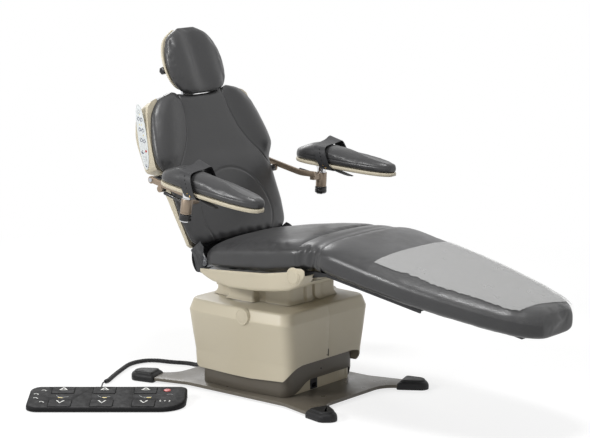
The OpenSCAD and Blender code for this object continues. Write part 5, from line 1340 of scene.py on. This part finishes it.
def arm_bar(side):
    """The flat bar from the back's pin to the post, with its boss, block and sleeve."""
    pin, elbow, end = (-335, 787), (-170, 752), (-85, 750)
    bend = [pin, (mix(pin[0], elbow[0], 0.4), mix(pin[1], elbow[1], 0.4)),
            (mix(pin[0], elbow[0], 0.8), mix(pin[1], elbow[1], 0.8) + 0.3), (-160, 751.2), (-125, 750.3), end]
    mid = [(q[0], q[1]) for q in spline([(x, z, 0) for x, z in bend], 6)]
    top, low = offset(mid, BAR_HALF), offset(mid, -BAR_HALF)
    a0 = atan2(top[0][1] - pin[1], top[0][0] - pin[0])
    nose = [(pin[0] + BAR_HALF * cos(a), pin[1] + BAR_HALF * sin(a))
            for a in (a0 + pi * (1 - k / 13) for k in range(1, 13))]
    bar = slab("bar", top + low[::-1] + nose, BAR_Y - BAR_T, BAR_Y + BAR_T, bevel=2.2)
    boss = lathe("boss", [(8, -5.2), (13.2, -5.2), (14, -4.2), (14, 4.4), (13, 5.6), (9, 5.8), (8.2, 5.0),
                          (7, 5.6), (0.4, 5.9)], at=(pin[0], BAR_Y, pin[1]), axis=(0, 1, 0), n=40)
    lobe = lathe("lobe", [(0.4, -5), (12, -5), (12.5, -4.2), (12.5, 4.2), (11.7, 5), (0.4, 5)],
                 at=(LOCK_X, BAR_Y, LOCK_Z), axis=(0, 1, 0), n=40)
    block = prism("block", rounded([(-118, 331), (-96, 331), (-96, 371), (-118, 371)], 3, 4), 726, 748,
                  bevel=2)
    sleeve = lathe("sleeve", [(16.2, -25), (20.2, -25), (21, -24.2), (21, -19), (20.4, -18.4), (20.4, -17.4),
                              (21, -16.8), (21, 28.4), (20.2, 30), (16.2, 30)], n=64)
    place(sleeve, shift(*POST) @ spin(SIDES[side][1], "Y"))
    forging = join(side + "_arm_bar_forging", bar, boss, lobe, block, sleeve)
    finish_arm(forging, side, "arm", bronze_paint, "bar")


POST_LINE = [(0.4, -54.3), (18, -54.3), (19, -53.6), (19, -51), (18.4, -50.4), (16, -50.3), (16, 30.2),
             (18.4, 30.3), (19, 31), (19, 33.6), (18, 34.2), (16.4, 34.6), (17, 40), (18.2, 46), (20.4, 52),
             (24, 58), (28.4, 62.4), (30, 64), (30, 65), (0.4, 65)]
COLLAR = ((-50, 16.3, 0), (-50, 21, 0), (-49.2, 22.4, 0.3), (-47.6, 23, 0.5), (-38, 23, 0.5),
          (-36.4, 22.2, 0.1), (-35.2, 22.0, 0), (-34.2, 22.8, 0.2), (-27.4, 23, 0.3), (-26.2, 22.2, 0.1),
          (-25.3, 21, 0), (-25.3, 16.3, 0))
LEVER = [(0.4, 10), (5, 10), (5, 60), (5.6, 64), (7, 68), (7, 112), (6.6, 114.6), (5.2, 116.8), (3, 118),
         (0.4, 118.3)]
LOCK_ROWS = ((3, 6), (3, 0), (11.6, 0), (12.5, -1), (12.5, -13.4), (11.8, -15.2), (9.6, -16), (0.4, -16))


def arm_lever(side):
    """The clamp collar with its ribs, and the lever with a rounded grip."""
    rings = []
    for z, r, wave in COLLAR:
        radii = [(r - wave * (0.5 + 0.5 * cos(24 * a)), a) for a in circle(96)]
        rings.append([(rib * cos(a), rib * sin(a), z) for rib, a in radii])
    collar = shade(grid("collar", rings, closed=True), 40)
    shaft = place(lathe("lever", LEVER, n=32), spin(6 - 90, "Y") @ shift(12.5, 0, -3))
    finish_arm(join(side + "_arm_lever_grip", collar, shaft), side, "clamp", black_gloss, "lever")


def arm_knob(side):
    y = BAR_Y - BAR_T - 2.3
    rows = [[(LOCK_X + x, y + d, LOCK_Z + z) for x, z in fluted(r, 0.05 if r > 9 else 0, 8, 64)]
            for r, d in LOCK_ROWS]
    finish_arm(solid(side + "_arm_knob_grip", rows, 45), side, "lock", black_gloss, "knob")


for side in SIDES:
    arm_bar(side)
    finish_arm(lathe(side + "_arm_post_polished", POST_LINE, n=72), side, "board", chrome, "post")
    arm_lever(side)
    arm_knob(side)
    arm_tray(side)
    arm_pad(side)
    arm_strap(side)

# Foot control
PEDAL_LEN, PEDAL_DEPTH, PEDAL_REAR, PEDAL_FRONT = 575, 216, 41, 18
SLOPE = atan2(PEDAL_REAR - PEDAL_FRONT, PEDAL_DEPTH)
RUN = cos(SLOPE)
AT_PEDAL = shift(-292, -624, 0) @ spin(39.3, "Z")
ON_PEDAL = (AT_PEDAL @ shift(0, -PEDAL_DEPTH / 2, PEDAL_FRONT) @ Matrix.Rotation(SLOPE, 4, "X")
            @ shift(0, PEDAL_DEPTH / 2 / RUN, 0))
KEYS = {"back_up_key": (-166, 66), "back_down_key": (-166, -62), "lift_up_key": (-15, 66),
        "lift_down_key": (-15, -62), "tilt_up_key": (136, 66), "tilt_down_key": (136, -62)}
KEY_U, KEY_V, KEY_GAP = 41.5, 34, 1
STOP_AT = (215, 66 / RUN, 0)
FOOT_IN = 68


def top_z(v):
    return PEDAL_FRONT + (v + PEDAL_DEPTH / 2) * tan(SLOPE)


def frame_line(half_u, half_v, radii, n):
    return rounded([(half_u, -half_v), (half_u, half_v), (-half_u, half_v), (-half_u, -half_v)], radii, n)


def pedal():
    """The sloping housing, its edge rolled over, with a pocket under each key."""
    half_l, half_d = PEDAL_LEN / 2, PEDAL_DEPTH / 2

    def line(g):
        return frame_line(half_l - g, half_d - g, [95 - g, 24, 42 - g, 46 - g], 14)
    rows = [[(x, y, 2 + d) for x, y in line(g)] for g, d in ((3, 0), (1.2, 0.4), (0, 2))]
    rows += [[(x, y, top_z(y) - d) for x, y in line(g)] for g, d in
             ((0, 7.4), (0.5, 4.8), (1.8, 2.7), (3.8, 1.2), (6.4, 0.35), (9.4, 0.0))]
    pocket = frame_line(KEY_U + KEY_GAP, KEY_V + KEY_GAP, 7, 6)
    cutters = [place(prism("pocket", pocket, -9, 4, bevel=0), shift(u, v / RUN, 0)) for u, v in KEYS.values()]
    cutters.append(lathe("pocket", [(0.4, -9), (14, -9), (14, 4), (0.4, 4)], at=STOP_AT, n=40))
    for c in cutters:
        outwards(place(c, AT_PEDAL.inverted() @ ON_PEDAL))
    body = soften(cut(solid("pedal_case", rows, 50), *cutters), 0.8, 2, angle=45)
    feet = [lathe("foot", [(9, 0), (10.6, 0.3), (11, 1), (11, 3)],
                  at=(sx * (half_l - FOOT_IN), sy * FOOT_IN, 0), n=28) for sx, sy in CORNERS]
    return place(join("foot_control_case", body, *feet), AT_PEDAL)


finish_piece(pedal(), "base", pedal_black, "pedal_housing")


def key_cap(name, u, v):
    rows = [[(u + x, v / RUN + y, z)
             for x, y in frame_line(KEY_U - g, KEY_V - g, max(1.5, 6 - g * 0.3), 6)]
            for g, z in ((0, -3.5), (0, -0.2), (0.5, 0.8), (1.6, 1.4), (3, 1.55), (9, 1.1), (20, 0.8))]
    return place(solid(name + "_cap", rows, 50), ON_PEDAL)


def marks(name, shapes, body, look, z=1.2):
    parts = [prism("mark", pts, z, z + 0.5, bevel=0) for pts in shapes]
    finish_piece(place(join(name, *parts), ON_PEDAL), body, look)


def triangle(u, v, w, d, line=3.4):
    """A triangle drawn as an outline, as three bars."""
    a, b, c = (u - w, v - d), (u + w, v - d), (u, v + d)
    return [[a, b, (b[0] - 1.92 * line, b[1] + line), (a[0] + 1.92 * line, a[1] + line)],
            [a, (a[0] + 1.6 * line, a[1]), (c[0] + 0.8 * line, c[1] - line * 0.9), c,
             (c[0] - 0.8 * line, c[1] - 0.4 * line)],
            [(b[0] - 1.6 * line, b[1]), b, (c[0] + 0.8 * line, c[1] - 0.4 * line), c,
             (c[0] - 0.8 * line, c[1] - 0.9 * line)]]


def chevron(u, v, w, d, line=5.1):
    a, b, c = (u - w, v + d), (u + w, v + d), (u, v - d)
    peak = (c[0], c[1] + line)
    return [[a, (a[0] + line * 1.3, a[1]), peak, c], [b, c, peak, (b[0] - line * 1.3, b[1])]]


for key, (u, v) in KEYS.items():
    finish_piece(key_cap(key, u, v), key + "_body", pedal_black, key)
    sign = triangle(u, v / RUN + 12, 17, 13) if "up" in key else chevron(u, v / RUN + 12, 16, 13)
    marks(key + "_sign", sign, key + "_body", white_ink)
stop = lathe("stop_button_cap", [(0.4, -3.5), (13, -3.5), (13, 0.4), (12.4, 1.2), (11, 1.5), (5, 1.7),
                                 (0.4, 1.75)], at=STOP_AT, n=40)
finish_piece(place(stop, ON_PEDAL), "stop_button_body", red_ink, "stop_button")


def stroke(points, w):
    """A flat stroke along a line of points in U and V."""
    return offset(points, w / 2) + offset(points, -w / 2)[::-1]


def bend_mark(u, v, r, a0, a1, w):
    return stroke([(u + r * cos(a), v + r * sin(a)) for a in np.linspace(a0, a1, 12)], w)


white, gold, pale = [], [], []
for i, u in enumerate((-166, -15, 136)):
    pale.append(stroke([(u - 20, 14), (u - 8, -2), (u + 6, -2), (u + 26, 4)], 2.2))
    pale.append(stroke([(u, -3), (u, -10), (u + 9, -10)], 1.8))
    x0, x1 = u - 12 + 10 * i, u + 4 + 10 * i
    gold.append([(x0, -9), (x1, -9), (x1, -3.4), (x0, -3.4)])
for u, v in ((-238, 62), (-262, 26), (-260, -14), (-234, -52)):
    white.append(bend_mark(u, v, 8, 0.5, 2.7, 3.0))
    white.append([(u + 6, v + 3), (u + 12, v + 1), (u + 7, v - 4)])
white.append(bend_mark(203, -38, 9, 2.2, 4.1, 3.0))
white.append(bend_mark(221, -38, 9, -1.0, 0.9, 3.0))
white.append([(208, -34), (216, -34), (212, -43)])
pale.append(bend_mark(226, 18, 11, 0.4, 2.7, 2.2))
marks("foot_control_signs", white, "base", white_ink, z=-0.3)
marks("foot_control_gold_signs", gold, "base", yellow_ink, z=-0.3)
marks("foot_control_pale_signs", pale, "base", case_grey, z=-0.3)

# CAD nodes that stay as they are get a finish for their slot
SLOT_LOOK = {"plate_paint": enamel, "taupe_paint": taupe, "zinc_steel": zinc, "beige_plastic": beige_trim,
             "black_plastic": black_mould, "grey_plastic": case_grey, "red_plastic": red_ink, "hide": leather,
             "bronze_paint": bronze_paint, "polished_steel": chrome, "clear_cover": film, "rubber": rubber}
for row in frame["record"]["subparts"]:
    node = frame["nodes"][row["node"]]
    # The leg frame takes black instead of its slot's finish: painted shade under the leg rest.
    look = black_mould if row["node"] == "leg_frame" else SLOT_LOOK[row["material_slot"]]
    if not node.material_slots:
        node.data.materials.append(look)
    for s in node.material_slots:
        s.material = look


# Floor, light and the finished frame
WORLD_LIGHT = 0.34
FLOOR_MATT, FLOOR_GLOW, FLOOR_SHADE = 0.34, 0.74, 0.8
FADE_FROM, FADE_TO = 1.7, 3.2
FLOOR_HALF, FLOOR_Z = 40000, -1.2
LAMPS = (("key", (-1.6, -4.6, 3.0), (0, 0, 0.7), 1.2, 142), ("rear", (-3.6, 2.2, 3.0), (0, 0, 0.8), 1.6, 50),
         ("top", (1.0, -0.9, 4.4), (0.2, 0, 0.5), 1.0, 88))


def seen_rays(tree):
    """1 for camera, mirror and see-through rays, which show the backdrop itself."""
    path = add_node(tree, "LightPath")
    total = path.outputs["Is Camera Ray"]
    for name in ("Is Glossy Ray", "Is Transmission Ray"):
        total = add_node(tree, "Math", {0: total, 1: path.outputs[name]}, operation="MAXIMUM").outputs[0]
    return total


def studio_floor():
    """A pale floor that shows white with the soft shadow of the chair, and plain white far off."""
    mat = bpy.data.materials.new("floor")
    tree = bare_tree(mat)

    def matt(value):
        return add_node(tree, "BsdfDiffuse", {"Color": (value, value, value, 1)}).outputs[0]

    def glow(value):
        return add_node(tree, "Emission", {"Strength": value}).outputs[0]

    def blend(fac, a, b):
        return add_node(tree, "MixShader", {0: fac, 1: a, 2: b}).outputs[0]
    near = add_node(tree, "AddShader", {0: matt(FLOOR_MATT), 1: glow(FLOOR_GLOW)}).outputs[0]
    where = add_node(tree, "TexCoord").outputs["Object"]
    far = add_node(tree, "VectorMath", {0: where}, operation="LENGTH").outputs["Value"]
    fade = add_node(tree, "MapRange", {"From Min": FADE_FROM, "From Max": FADE_TO, "Value": far}).outputs[0]
    shown = blend(fade, near, glow(1.0))
    add_node(tree, "OutputMaterial", {0: blend(seen_rays(tree), matt(FLOOR_SHADE), shown)})
    ends = [(x * FLOOR_HALF, y * FLOOR_HALF, FLOOR_Z) for x, y in ((-1, -1), (1, -1), (1, 1), (-1, 1))]
    floor = new_mesh("studio_floor", ends, [(0, 1, 2, 3)])
    floor.data.materials.append(mat)


def lamp(name, at, aim, size, power):
    data = bpy.data.lights.new(name, "AREA")
    data.size = size
    data.energy = power
    obj = add_object(name, data)
    obj.location = at
    obj.rotation_euler = (Vector(aim) - Vector(at)).to_track_quat("-Z", "Y").to_euler()


def studio_world():
    world = bpy.data.worlds.new("studio")
    bpy.context.scene.world = world
    tree = bare_tree(world)
    light, seen = [add_node(tree, "Background", {"Color": (1, 1, 1, 1), "Strength": value}).outputs[0]
                   for value in (WORLD_LIGHT, 1.0)]
    shown = add_node(tree, "MixShader", {0: seen_rays(tree), 1: light, 2: seen})
    add_node(tree, "OutputWorld", {0: shown.outputs[0]})


studio_floor()
studio_world()
for row in LAMPS:
    lamp(*row)
bpy.context.scene.view_settings.view_transform = "Standard"

bpy.context.view_layer.update()
